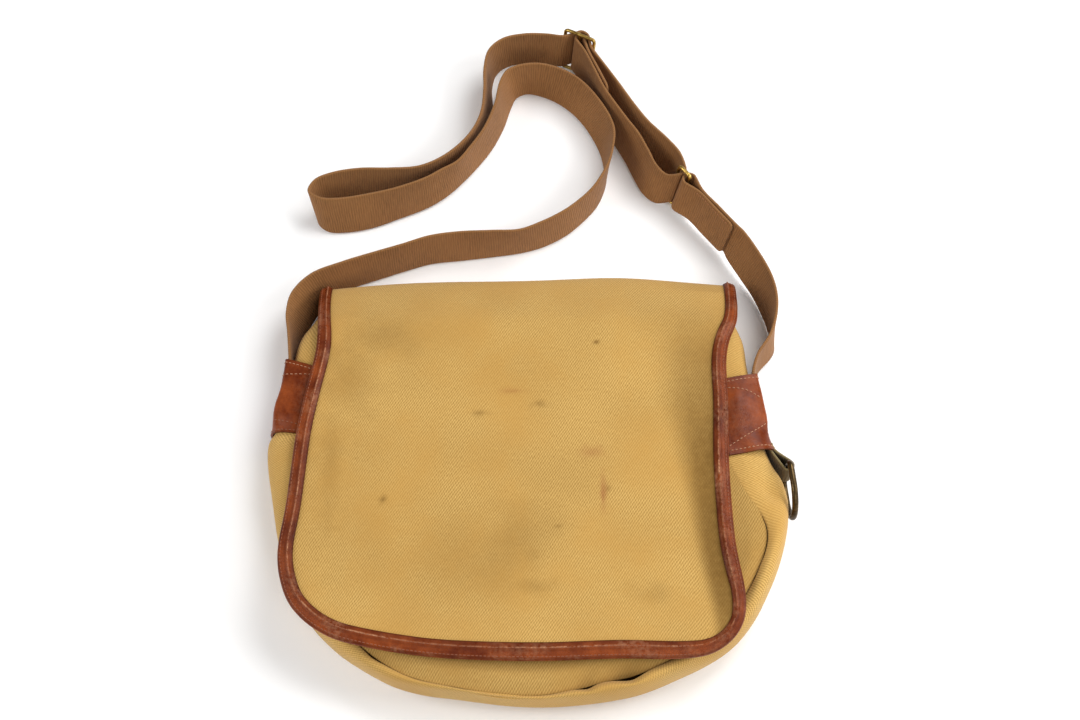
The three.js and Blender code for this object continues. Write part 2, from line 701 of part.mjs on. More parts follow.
// Two closed geometries joined into one body
function joined(first, second) {
  const solid = (geometry) => {
    const bare = geometry.clone().deleteAttribute('normal').deleteAttribute('uv');
    const merged = mergeVertices(bare, 1e-4);
    return new wasm.Manifold(new wasm.Mesh({
      numProp: 3,
      vertProperties: new Float32Array(merged.getAttribute('position').array),
      triVerts: new Uint32Array(merged.getIndex().array),
    }));
  };
  const mesh = solid(first).add(solid(second)).getMesh();
  const geometry = new THREE.BufferGeometry();
  geometry.setAttribute('position', new THREE.BufferAttribute(mesh.vertProperties, 3));
  geometry.setIndex(new THREE.BufferAttribute(mesh.triVerts, 1));
  geometry.computeVertexNormals();
  return geometry;
}

function makeSlider() {
  const frame = wireLoop(roundedRectangle(slider.pitch, hardwareWidth / 2, cornerRadius), barRadius);
  return joined(frame, new THREE.CylinderGeometry(barRadius, barRadius, hardwareWidth, cuts.wire));
}

function makeLoop() {
  return wireLoop(roundedRectangle(loop.pitch / 2, hardwareWidth / 2, cornerRadius), barRadius);
}

// Turns a mesh so that its x runs along a level direction and its y along up
function orient(mesh, along, up) {
  const face = along.clone().cross(up).normalize();
  mesh.quaternion.setFromRotationMatrix(new THREE.Matrix4().makeBasis(along, up, face));
}

// Stands a frame on the floor: its x runs along the strap, its y up the strap's width
function standFrame(mesh, piece) {
  const along = new THREE.Vector3(piece.alongX, piece.alongY, 0).normalize();
  const rise = Math.sqrt(strapWidth ** 2 - piece.leanX ** 2 - piece.leanY ** 2);
  const up = new THREE.Vector3(piece.leanX, piece.leanY, rise).normalize();
  orient(mesh, along, up);
  const foot = hardwareWidth / 2 + barRadius + strapFloor;
  mesh.position.set(piece.x, piece.y, 0).addScaledVector(up, foot);
}

// Keeper: a tape loop from under the tab's lower edge, round the ring's bar and back
function keeperRows() {
  const radius = ringWire + keeperSlack + keeperTape / 2;
  const spread = keeperTape / 2 + gap;
  const row = (x, y) => ({ x, y, leanX: 0, leanY: 0, lift: keeperLift });
  const bar = (degrees) => {
    const angle = degToRad(degrees);
    return row(ringBar.x + radius * Math.cos(angle), ringBar.y + radius * Math.sin(angle));
  };
  return [
    row(keeperRoot.x + spread, keeperRoot.y + spread / 2),
    ...steps(keeperTurn.from, keeperTurn.to, cuts.turn).map(bar),
    row(keeperRoot.x - spread, keeperRoot.y - spread / 2),
  ];
}

// Net ring: a D of round wire, its straight bar on the local y axis and its bow along local x
function makeRing() {
  const half = ringHeight / 2;
  const bowStart = ringDepth - half;
  const arc = (x, y, radius, from, to, count) => steps(from, to, count).map((degrees) => {
    const angle = degToRad(degrees);
    return new THREE.Vector3(x + radius * Math.cos(angle), y + radius * Math.sin(angle), 0);
  });
  const points = [
    ...arc(ringCorner, half - ringCorner, ringCorner, 180, 90, cuts.corner),
    ...arc(bowStart, 0, half, 90, -90, cuts.ringBow),
    ...arc(ringCorner, ringCorner - half, ringCorner, 270, 180, cuts.corner),
  ];
  return wireLoop(points, ringWire);
}

// Finishes
const finishes = {
  canvas: { color: 0xd0a55e, roughness: 0.9, metalness: 0 },
  leather: { color: 0x8a4a2d, roughness: 0.45, metalness: 0 },
  webbing: { color: 0x835b38, roughness: 0.85, metalness: 0 },
  brass: { color: 0xb1a47a, roughness: 0.35, metalness: 1 },
  bronze: { color: 0x554630, roughness: 0.4, metalness: 1 },
};

function part(name, geometry, finish) {
  const mesh = new THREE.Mesh(geometry, new THREE.MeshStandardMaterial(finishes[finish]));
  mesh.name = name;
  return mesh;
}

const bag = new THREE.Group();
bag.name = 'shoulder_bag';

bag.add(part('back_panel', makeBackPanel(), 'canvas'));
bag.add(part('gusset', makeGusset(), 'canvas'));
bag.add(part('front_panel', makeFrontPanel(), 'canvas'));
bag.add(part('flap', makeFlap(), 'canvas'));
bag.add(part('flap_binding', makeBinding(), 'leather'));
[tabLeft, tabRight].forEach((tab) => bag.add(part(tab.name, makeTab(tab), 'leather')));

bag.add(part('strap_long', makeStrap(longStrapRows(), strapWidth, webbing), 'webbing'));
bag.add(part('strap_short', makeStrap(shortStrapRows(), strapWidth, webbing), 'webbing'));

const sliderMesh = part('strap_slider', makeSlider(), 'brass');
standFrame(sliderMesh, slider);
const loopMesh = part('strap_loop', makeLoop(), 'brass');
standFrame(loopMesh, loop);
bag.add(sliderMesh, loopMesh);

bag.add(part('ring_keeper', makeStrap(keeperRows(), keeperWidth, keeperTape), 'webbing'));
const ring = part('net_ring', makeRing(), 'bronze');
const ringWay = degToRad(ringHeading);
orient(ring, new THREE.Vector3(Math.cos(ringWay), Math.sin(ringWay), 0), new THREE.Vector3(0, 0, 1));
ring.position.set(ringBar.x, ringBar.y, ringBar.z);
bag.add(ring);

export default bag;
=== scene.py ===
import math

import bmesh
import bpy
import numpy as np
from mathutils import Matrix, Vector
from mathutils.bvhtree import BVHTree


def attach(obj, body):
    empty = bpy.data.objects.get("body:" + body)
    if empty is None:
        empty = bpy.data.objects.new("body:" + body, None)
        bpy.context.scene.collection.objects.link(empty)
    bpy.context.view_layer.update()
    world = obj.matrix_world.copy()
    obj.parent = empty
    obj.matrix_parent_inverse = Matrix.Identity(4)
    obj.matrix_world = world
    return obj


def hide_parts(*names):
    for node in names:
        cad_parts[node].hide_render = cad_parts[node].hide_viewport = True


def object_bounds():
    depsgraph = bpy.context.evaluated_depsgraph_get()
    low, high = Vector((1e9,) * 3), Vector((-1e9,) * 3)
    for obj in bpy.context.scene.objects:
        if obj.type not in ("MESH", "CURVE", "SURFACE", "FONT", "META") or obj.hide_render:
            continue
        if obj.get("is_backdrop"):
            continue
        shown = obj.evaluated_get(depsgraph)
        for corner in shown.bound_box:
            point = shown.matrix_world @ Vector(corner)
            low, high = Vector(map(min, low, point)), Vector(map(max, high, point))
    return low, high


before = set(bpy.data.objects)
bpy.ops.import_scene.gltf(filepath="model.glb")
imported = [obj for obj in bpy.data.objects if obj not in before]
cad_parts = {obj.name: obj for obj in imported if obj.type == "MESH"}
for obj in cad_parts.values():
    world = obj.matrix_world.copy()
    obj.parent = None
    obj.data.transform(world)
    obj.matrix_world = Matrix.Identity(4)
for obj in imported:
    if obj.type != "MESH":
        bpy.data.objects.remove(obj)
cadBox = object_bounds()
print("frame loaded:", len(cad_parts), "nodes")

mm = 0.001  # all the tables below are in millimetres
canvasThick = 2.0
leatherThick = 1.8

# Camera first, at the photograph's view: 64 degrees down on a point between the bag's middle and its strap

view = {"lens": 56, "sensor": 36, "target": (9, 125, 0), "distance": 1400, "elevation": 64}


def placeCamera():
    rise = math.radians(view["elevation"])
    back = Vector((0, -math.cos(rise), math.sin(rise)))
    data = bpy.data.cameras.new("bagCamera")
    data.lens = view["lens"]
    data.sensor_width = view["sensor"]
    data.sensor_fit = "HORIZONTAL"
    camera = bpy.data.objects.new("bagCamera", data)
    camera.location = (Vector(view["target"]) + back * view["distance"]) * mm
    camera.rotation_euler = (math.radians(90 - view["elevation"]), 0, 0)
    bpy.context.scene.collection.objects.link(camera)
    bpy.context.scene.camera = camera


placeCamera()


# Curves and surfaces as arrays

def curveThrough(points, places, centripetal=False):  # places count points, from 0
    line = np.asarray(points, float)
    places = np.clip(np.asarray(places, float), 0, len(line) - 1)
    line = np.vstack([2 * line[0] - line[1], line, 2 * line[-1] - line[-2]])
    first = np.minimum(places.astype(int), len(line) - 4)
    t = (places - first)[:, None]
    a, b, c, d = (line[first + k] for k in range(4))
    leave, arrive = (c - a) / 2, (d - b) / 2
    if centripetal:
        gaps = ((a, b), (b, c), (c, d))
        g0, g1, g2 = (np.sqrt(np.linalg.norm(y - x, axis=1))[:, None] + 1e-4 for x, y in gaps)
        leave = ((b - a) / g0 - (c - a) / (g0 + g1) + (c - b) / g1) * g1
        arrive = ((c - b) / g1 - (d - b) / (g1 + g2) + (d - c) / g2) * g1
    return ((2 * t**3 - 3 * t**2 + 1) * b + (t**3 - 2 * t**2 + t) * leave
            + (3 * t**2 - 2 * t**3) * c + (t**3 - t**2) * arrive)


def unit(v):
    return v / np.maximum(np.linalg.norm(v, axis=-1, keepdims=True), 1e-9)


def patchBetween(top, bottom, left, right):  # four edges to a grid, rows down and columns across
    u = np.linspace(0, 1, len(top))[None, :, None]
    v = np.linspace(0, 1, len(left))[:, None, None]
    sheet = (1 - v) * top[None] + v * bottom[None] + (1 - u) * left[:, None] + u * right[:, None]
    corners = (1 - u) * (1 - v) * top[0] + u * (1 - v) * top[-1]
    corners = corners + (1 - u) * v * bottom[0] + u * v * bottom[-1]
    return sheet - corners


def gridNormals(grid):
    down, across = np.gradient(grid, axis=0), np.gradient(grid, axis=1)
    return unit(np.cross(down, across))


def lengthAlong(points, axis=0):  # running length of a line, or of each line of a grid
    step = np.linalg.norm(np.diff(points, axis=axis), axis=-1)
    return np.concatenate([np.zeros_like(np.take(step, [0], axis)), np.cumsum(step, axis)], axis)


def evenColumns(grid, count):  # each line of a grid in even steps of its own length
    shares = np.linspace(0, 1, count)
    steps = lengthAlong(grid, 1)
    return np.array([[np.interp(shares * far[-1], far, line[:, k]) for k in range(3)]
                     for far, line in zip(steps, grid)]).transpose(0, 2, 1)


def smoothStep(low, high, x):
    t = np.clip((x - low) / (high - low), 0, 1)
    return t * t * (3 - 2 * t)


def riseAndFall(x, start, full, fade, end):  # from 0 up to 1 and back to 0
    return smoothStep(start, full, x) * smoothStep(end, fade, x)


def lumps(x, y, size, seed):  # smooth random swell, about -1 to 1, size in millimetres
    cells = 64
    lattice = np.random.default_rng(seed).uniform(-1, 1, (cells, cells))
    gx, gy = x / size + 31.7, y / size + 29.3  # the bag's middle is near the lattice's middle
    ix, iy = np.floor(gx).astype(int), np.floor(gy).astype(int)
    tx, ty = gx - ix, gy - iy
    tx, ty = tx * tx * (3 - 2 * tx), ty * ty * (3 - 2 * ty)
    pick = lambda a, b: lattice[(ix + a) % cells, (iy + b) % cells]
    low = pick(0, 0) * (1 - tx) + pick(1, 0) * tx
    return low * (1 - ty) + (pick(0, 1) * (1 - tx) + pick(1, 1) * tx) * ty


# Meshes from arrays

def gridFaces(rows, cols, start=0, wrap=False, flip=False):
    i, j = np.mgrid[0:rows - 1, 0:cols if wrap else cols - 1]
    k = (j + 1) % cols
    here, below = i * cols, (i + 1) * cols
    faces = np.stack([here + j, here + k, below + k, below + j], -1).reshape(-1, 4) + start
    return faces[:, ::-1] if flip else faces


def addPiece(name, points, faces, cornerPlaces, material, solid=None, body="bag", fields=None,
             sharp=45):  # solid is the node that the piece stands for
    mesh = bpy.data.meshes.new(name)
    mesh.from_pydata((np.asarray(points) * mm).tolist(), [], [list(face) for face in faces])
    layer = mesh.uv_layers.new(name="clothPlaces")  # millimetres along the cloth
    layer.uv.foreach_set("vector", np.asarray(cornerPlaces, np.float32).ravel())
    for key, values in (fields or {}).items():
        field = mesh.attributes.new(key, "FLOAT", "POINT")
        field.data.foreach_set("value", np.asarray(values, np.float32).ravel())
    turned = bmesh.new()
    turned.from_mesh(mesh)
    bmesh.ops.recalc_face_normals(turned, faces=turned.faces)
    turned.to_mesh(mesh)
    turned.free()
    mesh.polygons.foreach_set("use_smooth", np.ones(len(mesh.polygons), bool))
    mesh.set_sharp_from_angle(angle=math.radians(sharp))
    mesh.materials.append(material)
    mesh.update()
    piece = bpy.data.objects.new(name, mesh)
    bpy.context.scene.collection.objects.link(piece)
    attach(piece, body)
    if solid:
        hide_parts(solid)
    print("made", name, len(mesh.polygons), "faces")
    return piece


def addSheet(name, top, bottom, places, material, solid, fields):  # closed, between two grids
    rows, cols = top.shape[:2]
    count = rows * cols
    rim = np.concatenate([np.arange(cols), np.arange(1, rows) * cols + cols - 1,
                          (rows - 1) * cols + np.arange(cols - 2, -1, -1), np.arange(rows - 2, 0, -1) * cols])
    after = np.roll(rim, -1)
    faces = np.vstack([gridFaces(rows, cols, flip=True), gridFaces(rows, cols, count),
                       np.stack([rim, after, after + count, rim + count], -1)])
    points = np.vstack([top.reshape(-1, 3), bottom.reshape(-1, 3)])
    both = np.vstack([places.reshape(-1, 2)] * 2)
    doubled = {key: np.concatenate([value.ravel()] * 2) for key, value in fields.items()}
    return addPiece(name, points, faces, both[faces], material, solid, fields=doubled, sharp=80)


def sweepArrays(sections, along, around, closed=False):  # tubes and ribbons: points, faces, places at corners
    rows, cols = sections.shape[:2]
    points = sections.reshape(-1, 3)
    faces = gridFaces(rows, cols, wrap=True)
    i, j = np.divmod(np.arange(len(faces)), cols)
    around = np.append(around, 2 * around[-1] - around[-2]) if len(around) == cols else around
    corner = lambda di, dj: np.stack([along[i + di], around[j + dj]], -1)
    places = np.stack([corner(0, 0), corner(0, 1), corner(1, 1), corner(1, 0)], 1)
    if closed:
        last = gridFaces(2, cols, (rows - 2) * cols, wrap=True) + cols
        last[:, 2:] -= rows * cols
        return points, np.vstack([faces, last]), np.vstack([places, places[:cols]])
    return points, faces, places


def addRibbon(name, sections, along, around, material, solid=None, fields=None, sharp=45):
    points, faces, places = sweepArrays(sections, along, around)
    rows, cols = sections.shape[:2]
    faces = [list(face) for face in faces]
    ends = [list(range(cols - 1, -1, -1)), [(rows - 1) * cols + k for k in range(cols)]]
    endPlaces = [[along[0], around[k]] for k in ends[0]] + [[along[-1], around[k]] for k in range(cols)]
    corners = np.vstack([places.reshape(-1, 2), endPlaces])
    addPiece(name, points, faces + ends, corners, material, solid, fields=fields, sharp=sharp)


def addStitches(name, runs, material):  # runs: (points, normals, settings)
    rings, sides = np.array([-1, -0.75, -0.35, 0.35, 0.75, 1]), 6
    angles = np.linspace(0, 2 * math.pi, sides, endpoint=False)
    allPoints, allFaces = [], []
    for points, normals, thread in runs:
        run = lengthAlong(points)
        count = max(1, int(run[-1] / thread["pitch"]))
        middles = (np.arange(count) + 0.5) * run[-1] / count
        at = lambda s, values: np.stack([np.interp(s, run, values[:, k]) for k in range(3)], -1)
        centre, up = at(middles, points), unit(at(middles, normals))
        ahead = unit(at(middles + 0.8, points) - at(middles - 0.8, points))
        side = unit(np.cross(up, ahead))
        half, thick = thread["long"] / 2, thread["thick"] / 2
        lift = thick * (0.9 - 1.5 * np.abs(rings) ** 3)  # each stitch is a low hump whose ends dive in
        width = thick * np.sqrt(np.maximum(1 - 0.8 * rings**4, 0.05))
        forward, rise = (half * rings)[None, :, None], lift[None, :, None]
        spine = centre[:, None] + ahead[:, None] * forward + up[:, None] * rise
        sideways, upward = np.cos(angles)[:, None], np.sin(angles)[:, None]
        ring = side[:, None, None] * sideways + up[:, None, None] * upward
        mesh = spine[:, :, None] + ring * width[None, :, None, None]
        start = sum(len(p) for p in allPoints)
        size = len(rings) * sides
        one = gridFaces(len(rings), sides, wrap=True)
        allFaces += (np.arange(count)[:, None, None] * size + one[None] + start).reshape(-1, 4).tolist()
        for k in range(count):
            base = start + k * size
            allFaces.append([base + n for n in range(sides - 1, -1, -1)])
            allFaces.append([base + size - sides + n for n in range(sides)])
        allPoints.append(mesh.reshape(-1, 3))
    points = np.vstack(allPoints)
    corners = np.zeros((sum(len(face) for face in allFaces), 2))
    addPiece(name, points, allFaces, corners, material)


# Materials: each starts from what it is and how it was made

def srgb(code):
    value = np.array([int(code[k:k + 2], 16) for k in (1, 3, 5)]) / 255
    linear = np.where(value <= 0.04045, value / 12.92, ((value + 0.055) / 1.055) ** 2.4)
    return (*linear.tolist(), 1.0)


# settings that many nodes share
flat = {"noise_dimensions": "2D"}
multiply = {"operation": "MULTIPLY"}
multiplyAdd = {"operation": "MULTIPLY_ADD"}  # first times second, plus third
dotProduct = {"operation": "DOT_PRODUCT"}
sine = {"operation": "SINE"}
onCloth = {"uv_map": "clothPlaces"}


def connect(tree, made, **links):  # a link's value is a socket, a number or a colour; i0 is the first input
    for key, value in links.items():
        socket = made.inputs[int(key[1:])] if key[1:].isdigit() else made.inputs[key.replace("_", " ")]
        if isinstance(value, bpy.types.NodeSocket):
            tree.links.new(value, socket)
        else:
            socket.default_value = value


def node(tree, kind, settings=None, out=0, **links):
    made = tree.nodes.new("ShaderNode" + kind)
    for key, value in (settings or {}).items():
        setattr(made, key, value)
    connect(tree, made, **links)
    return made.outputs[out]


def newMaterial(name, **values):  # values are the same all over the surface
    material = bpy.data.materials.new(name)
    material.use_nodes = True
    shader = material.node_tree.nodes["Principled BSDF"]
    connect(material.node_tree, shader, **values)
    return material, material.node_tree, shader


# millimetres and degrees; the real ribs, about 1 mm apart, are too fine for the render and are drawn coarser
twill = {"pitch": 1.8, "lean": 56, "yarn": 0.9, "waver": 14, "cloud": 70, "fleck": 6, "rough": 0.92,
         "light": "#E6BE71", "dark": "#8F672A", "warm": "#C09249", "grimeAndShade": "#765521", "rust": "#8E4F2C"}


def cottonTwill():
    # Heavy cotton woven in a steep twill and proofed: dead matt, with fine slanting ribs and worn-in stains;
    # the stain colour also paints shade along creases, edges and the flap's right slope
    material, tree, shader = newMaterial("cotton twill, proofed, stained, with painted shade", Roughness=twill["rough"],
                                         Specular_IOR_Level=0.2, Sheen_Weight=0.12, Sheen_Roughness=0.5)
    places = node(tree, "UVMap", onCloth)
    lean, turn = math.radians(twill["lean"]), 2 * math.pi / twill["pitch"]
    ribWay = (math.sin(lean) * turn, -math.cos(lean) * turn, 0)
    floatWay = (math.cos(lean) * turn * 0.8, math.sin(lean) * turn * 0.8, 0)
    waver = node(tree, "TexNoise", flat, Vector=places, Scale=1 / twill["waver"], Detail=2.0)
    across = node(tree, "VectorMath", dotProduct, "Value", i0=places, i1=ribWay)
    along = node(tree, "VectorMath", dotProduct, "Value", i0=places, i1=floatWay)
    phase = node(tree, "Math", multiplyAdd, i0=waver, i1=5.0, i2=across)
    crossing = node(tree, "Math", multiplyAdd, i0=phase, i1=0.5, i2=along)
    floatWave = node(tree, "Math", sine, i0=crossing)
    floats = node(tree, "Math", multiplyAdd, i0=floatWave, i1=0.14, i2=0.5)
    ribWave = node(tree, "Math", sine, i0=phase)
    rib = node(tree, "Math", multiplyAdd, i0=ribWave, i1=0.36, i2=floats)
    drawnOut = node(tree, "Mapping", Vector=places, Scale=(1 / twill["yarn"], 0.35 / twill["yarn"], 1))
    yarn = node(tree, "TexNoise", flat, Vector=drawnOut, Scale=1.0, Detail=1.0)
    cloud = node(tree, "TexNoise", flat, Vector=places, Scale=1 / twill["cloud"], Detail=4.0, Roughness=0.6)
    fleck = node(tree, "TexNoise", flat, Vector=places, Scale=1 / twill["fleck"], Detail=3.0, Roughness=0.7)
    ribPart = node(tree, "Math", multiply, i0=rib, i1=0.6)
    lit = node(tree, "Math", multiplyAdd, i0=yarn, i1=0.4, i2=ribPart)
    color = node(tree, "MixRGB", Fac=lit, Color1=srgb(twill["dark"]), Color2=srgb(twill["light"]))
    warmth = node(tree, "MapRange", Value=cloud, From_Min=0.38, From_Max=0.7, To_Max=0.6)
    color = node(tree, "MixRGB", Fac=warmth, Color1=color, Color2=srgb(twill["warm"]))
    grain = node(tree, "MapRange", Value=fleck, From_Min=0.3, From_Max=0.7, To_Min=0.9, To_Max=1.08)
    for stainAndShade in ("grimeAndShade", "rust"):  # how much of each is on the mesh's points; the first is stains and dirt together with painted shade
        amount = node(tree, "Attribute", {"attribute_name": stainAndShade}, "Fac")
        share = node(tree, "Math", multiply, i0=amount, i1=grain)
        color = node(tree, "MixRGB", Fac=share, Color1=color, Color2=srgb(twill[stainAndShade]))
    height = node(tree, "Math", multiplyAdd, i0=yarn, i1=0.5, i2=rib)
    bump = node(tree, "Bump", Height=height, Strength=0.35, Distance=0.0004)
    connect(tree, shader, Base_Color=color, Normal=bump)
    return material


hide = {"grain": 1.7, "swirl": 3, "cloud": 22, "rub": 4, "rough": 0.3,  # sizes in millimetres
        "body": "#924721", "deep": "#61260F", "soilAndShade": "#3E1709", "scuffAndSheen": "#CE9A74"}


def bridleLeather():
    # Vegetable-tanned cowhide, dyed and waxed, then cracked with age: a low gloss and pale scuffs; the pale
    # colour also paints a highlight along the binding's ridge, and the dark colour paints shade
    material, tree, shader = newMaterial("bridle leather, dyed and cracked", IOR=1.5, Specular_IOR_Level=0.12)
    places = node(tree, "UVMap", onCloth)
    swirl = node(tree, "TexNoise", flat, "Color", Vector=places, Scale=1 / hide["swirl"], Detail=2.0)
    bent = node(tree, "VectorMath", multiplyAdd, i0=swirl, i1=(1.6, 1.6, 0), i2=places)
    cells = {"voronoi_dimensions": "2D", "feature": "DISTANCE_TO_EDGE"}
    crack = node(tree, "TexVoronoi", cells, Vector=bent, Scale=1 / hide["grain"])
    fromCrack = node(tree, "MapRange", Value=crack, From_Max=0.16)
    cloud = node(tree, "TexNoise", flat, Vector=places, Scale=1 / hide["cloud"], Detail=4.0, Roughness=0.65)
    rub = node(tree, "TexNoise", flat, Vector=places, Scale=1 / hide["rub"], Detail=5.0, Roughness=0.7)
    cracked, wornAndSheen, soiledAndShaded = (node(tree, "Attribute", {"attribute_name": name}, "Fac")
                             for name in ("cracked", "wornAndSheen", "soiledAndShaded"))
    dye = node(tree, "MapRange", Value=cloud, From_Min=0.3, From_Max=0.7)
    color = node(tree, "MixRGB", Fac=dye, Color1=srgb(hide["deep"]), Color2=srgb(hide["body"]))
    nearCrack = node(tree, "Math", {"operation": "SUBTRACT"}, i0=1.0, i1=fromCrack)
    lines = node(tree, "Math", multiply, i0=nearCrack, i1=cracked)
    darkLines = node(tree, "Math", multiply, i0=lines, i1=0.75)
    rubbed = node(tree, "MapRange", Value=rub, From_Min=0.4, From_Max=0.66)
    scuffsAndSheen = node(tree, "Math", multiply, i0=rubbed, i1=wornAndSheen)
    # the dark colour mixes in crack lines and painted shade, and the pale colour mixes in scuffs and a
    # painted highlight
    for share, tint in ((darkLines, "soilAndShade"), (soiledAndShaded, "soilAndShade"), (scuffsAndSheen, "scuffAndSheen")):
        color = node(tree, "MixRGB", Fac=share, Color1=color, Color2=srgb(hide[tint]))
    pores = node(tree, "Math", multiply, i0=rub, i1=0.35)
    height = node(tree, "Math", multiplyAdd, i0=lines, i1=-0.7, i2=pores)
    bump = node(tree, "Bump", Height=height, Strength=0.5, Distance=0.0005)
    rough = node(tree, "MapRange", Value=rub, From_Min=0.3, From_Max=0.7,
                 To_Min=hide["rough"] - 0.1, To_Max=hide["rough"] + 0.16)
    connect(tree, shader, Base_Color=color, Roughness=rough, Normal=bump)
    return material


# sizes in millimetres; half is half the width; the ribs are drawn coarser than real ones so that they show
strapYarn = {"name": "cotton webbing, loom-woven", "half": 19, "rib": 2.0, "cord": 1.2, "slub": 9,
             "cloud": 45, "light": "#9E6D3E", "dark": "#64401B", "edge": "#85603C", "rough": 0.88}
# the keeper tape's face colours are made dark as painted shade, and its pale selvedge is partly a painted
# highlight
shadedKeeperYarn = {**strapYarn, "name": "cotton tape, olive, with painted shade", "half": 12,
              "light": "#6E5C36", "dark": "#3E3018", "edge": "#A4946A"}


def cottonWebbing(look):
    # Dense cotton webbing, loom-woven with fine ribs across it and a firm selvedge: matt, paler on its edges
    material, tree, shader = newMaterial(look["name"], Roughness=look["rough"], Specular_IOR_Level=0.25,
                                         Sheen_Weight=0.1)
    places = node(tree, "UVMap", onCloth)
    along, across = (node(tree, "SeparateXYZ", out=axis, Vector=places) for axis in ("X", "Y"))
    waver = node(tree, "TexNoise", flat, Vector=places, Scale=1 / look["slub"], Detail=2.0)
    drift = node(tree, "Math", multiply, i0=waver, i1=4.0)
    ribPhase = node(tree, "Math", multiplyAdd, i0=along, i1=2 * math.pi / look["rib"], i2=drift)
    cordPhase = node(tree, "Math", multiply, i0=across, i1=2 * math.pi / look["cord"])
    ribWave, cordWave = (node(tree, "Math", sine, i0=phase) for phase in (ribPhase, cordPhase))
    rib, cords = (node(tree, "Math", multiplyAdd, i0=wave, i1=0.5, i2=0.5) for wave in (ribWave, cordWave))
    drawnOut = node(tree, "Mapping", Vector=places, Scale=(1 / look["cord"], 1 / look["slub"], 1))
    slub = node(tree, "TexNoise", flat, Vector=drawnOut, Scale=1.0, Detail=2.0)
    cloud = node(tree, "TexNoise", flat, Vector=places, Scale=1 / look["cloud"], Detail=3.0)
    ribPart = node(tree, "Math", multiply, i0=rib, i1=0.4)
    lit = node(tree, "Math", multiplyAdd, i0=slub, i1=0.6, i2=ribPart)
    color = node(tree, "MixRGB", Fac=lit, Color1=srgb(look["dark"]), Color2=srgb(look["light"]))
    faded = node(tree, "MapRange", Value=cloud, From_Min=0.35, From_Max=0.7, To_Max=0.3)
    fromMiddle = node(tree, "Math", {"operation": "ABSOLUTE"}, i0=across)
    selvedge = node(tree, "MapRange", Value=fromMiddle, From_Min=look["half"] - 1.6,
                    From_Max=look["half"] - 0.3, To_Max=0.4)
    for share, tint in ((faded, "light"), (selvedge, "edge")):
        color = node(tree, "MixRGB", Fac=share, Color1=color, Color2=srgb(look[tint]))
    yarns = node(tree, "Math", multiplyAdd, i0=slub, i1=0.6, i2=rib)
    height = node(tree, "Math", multiplyAdd, i0=cords, i1=0.25, i2=yarns)
    bump = node(tree, "Bump", Height=height, Strength=0.45, Distance=0.0004)
    connect(tree, shader, Base_Color=color, Normal=bump)
    return material


# Sand-cast brass, handled for years: warm yellow with brown tarnish in its hollows
brassLook = {"name": "cast brass, tarnished", "bright": "#C9A85A", "dull": "#7C5E2C", "rough": 0.32,
             "blotch": 5.56}  # millimetres
# Drawn bronze wire with a chemical brown finish: dark, with a soft bright line of gloss
bronzeLook = {**brassLook, "name": "bronze wire, browned", "bright": "#5E4C32", "dull": "#33281A",
              "rough": 0.34}


def agedMetal(look):
    material, tree, shader = newMaterial(look["name"], Metallic=1.0)
    places = node(tree, "TexCoord", out="Object")
    blotch = node(tree, "TexNoise", Vector=places, Scale=1 / (look["blotch"] * mm), Detail=4.0,
                  Roughness=0.65)
    tarnish = node(tree, "MapRange", Value=blotch, From_Min=0.42, From_Max=0.62)
    color = node(tree, "MixRGB", Fac=tarnish, Color1=srgb(look["bright"]), Color2=srgb(look["dull"]))
    dulled = node(tree, "MapRange", Value=blotch, From_Min=0.35, From_Max=0.65,
                  To_Min=look["rough"] - 0.08, To_Max=look["rough"] + 0.14)
    bump = node(tree, "Bump", Height=blotch, Strength=0.15, Distance=0.0003)
    connect(tree, shader, Base_Color=color, Roughness=dulled, Normal=bump)
    return material


threadLook = {"rough": 0.6, "shade": 0.7, "twist": 1.11}  # a twist's length in millimetres


def waxedThread(name, code):
    # Twisted thread, waxed: pale against the leather, a little shiny
    material, tree, shader = newMaterial(name, Roughness=threadLook["rough"])
    places = node(tree, "TexCoord", out="Object")
    twist = node(tree, "TexNoise", Vector=places, Scale=1 / (threadLook["twist"] * mm), Detail=2.0)
    light = srgb(code)
    shaded = tuple(c * threadLook["shade"] for c in light[:3]) + (1.0,)
    color = node(tree, "MixRGB", Fac=twist, Color1=shaded, Color2=light)
    connect(tree, shader, Base_Color=color)
    return material


canvasCloth = cottonTwill()
leatherHide = bridleLeather()
strapWeb = cottonWebbing(strapYarn)
shadedKeeperWeb = cottonWebbing(shadedKeeperYarn)
tarnishedBrass = agedMetal(brassLook)
brownedBronze = agedMetal(bronzeLook)
leatherThread = waxedThread("linen thread, waxed", "#96593B")
paleThread = waxedThread("linen thread, waxed and rubbed", "#C28C6A")
strapThread = waxedThread("cotton thread, rust brown", "#B5764A")
print("materials made")

# Gusset: one row for each section round the U, from the left of the mouth to the right of the mouth

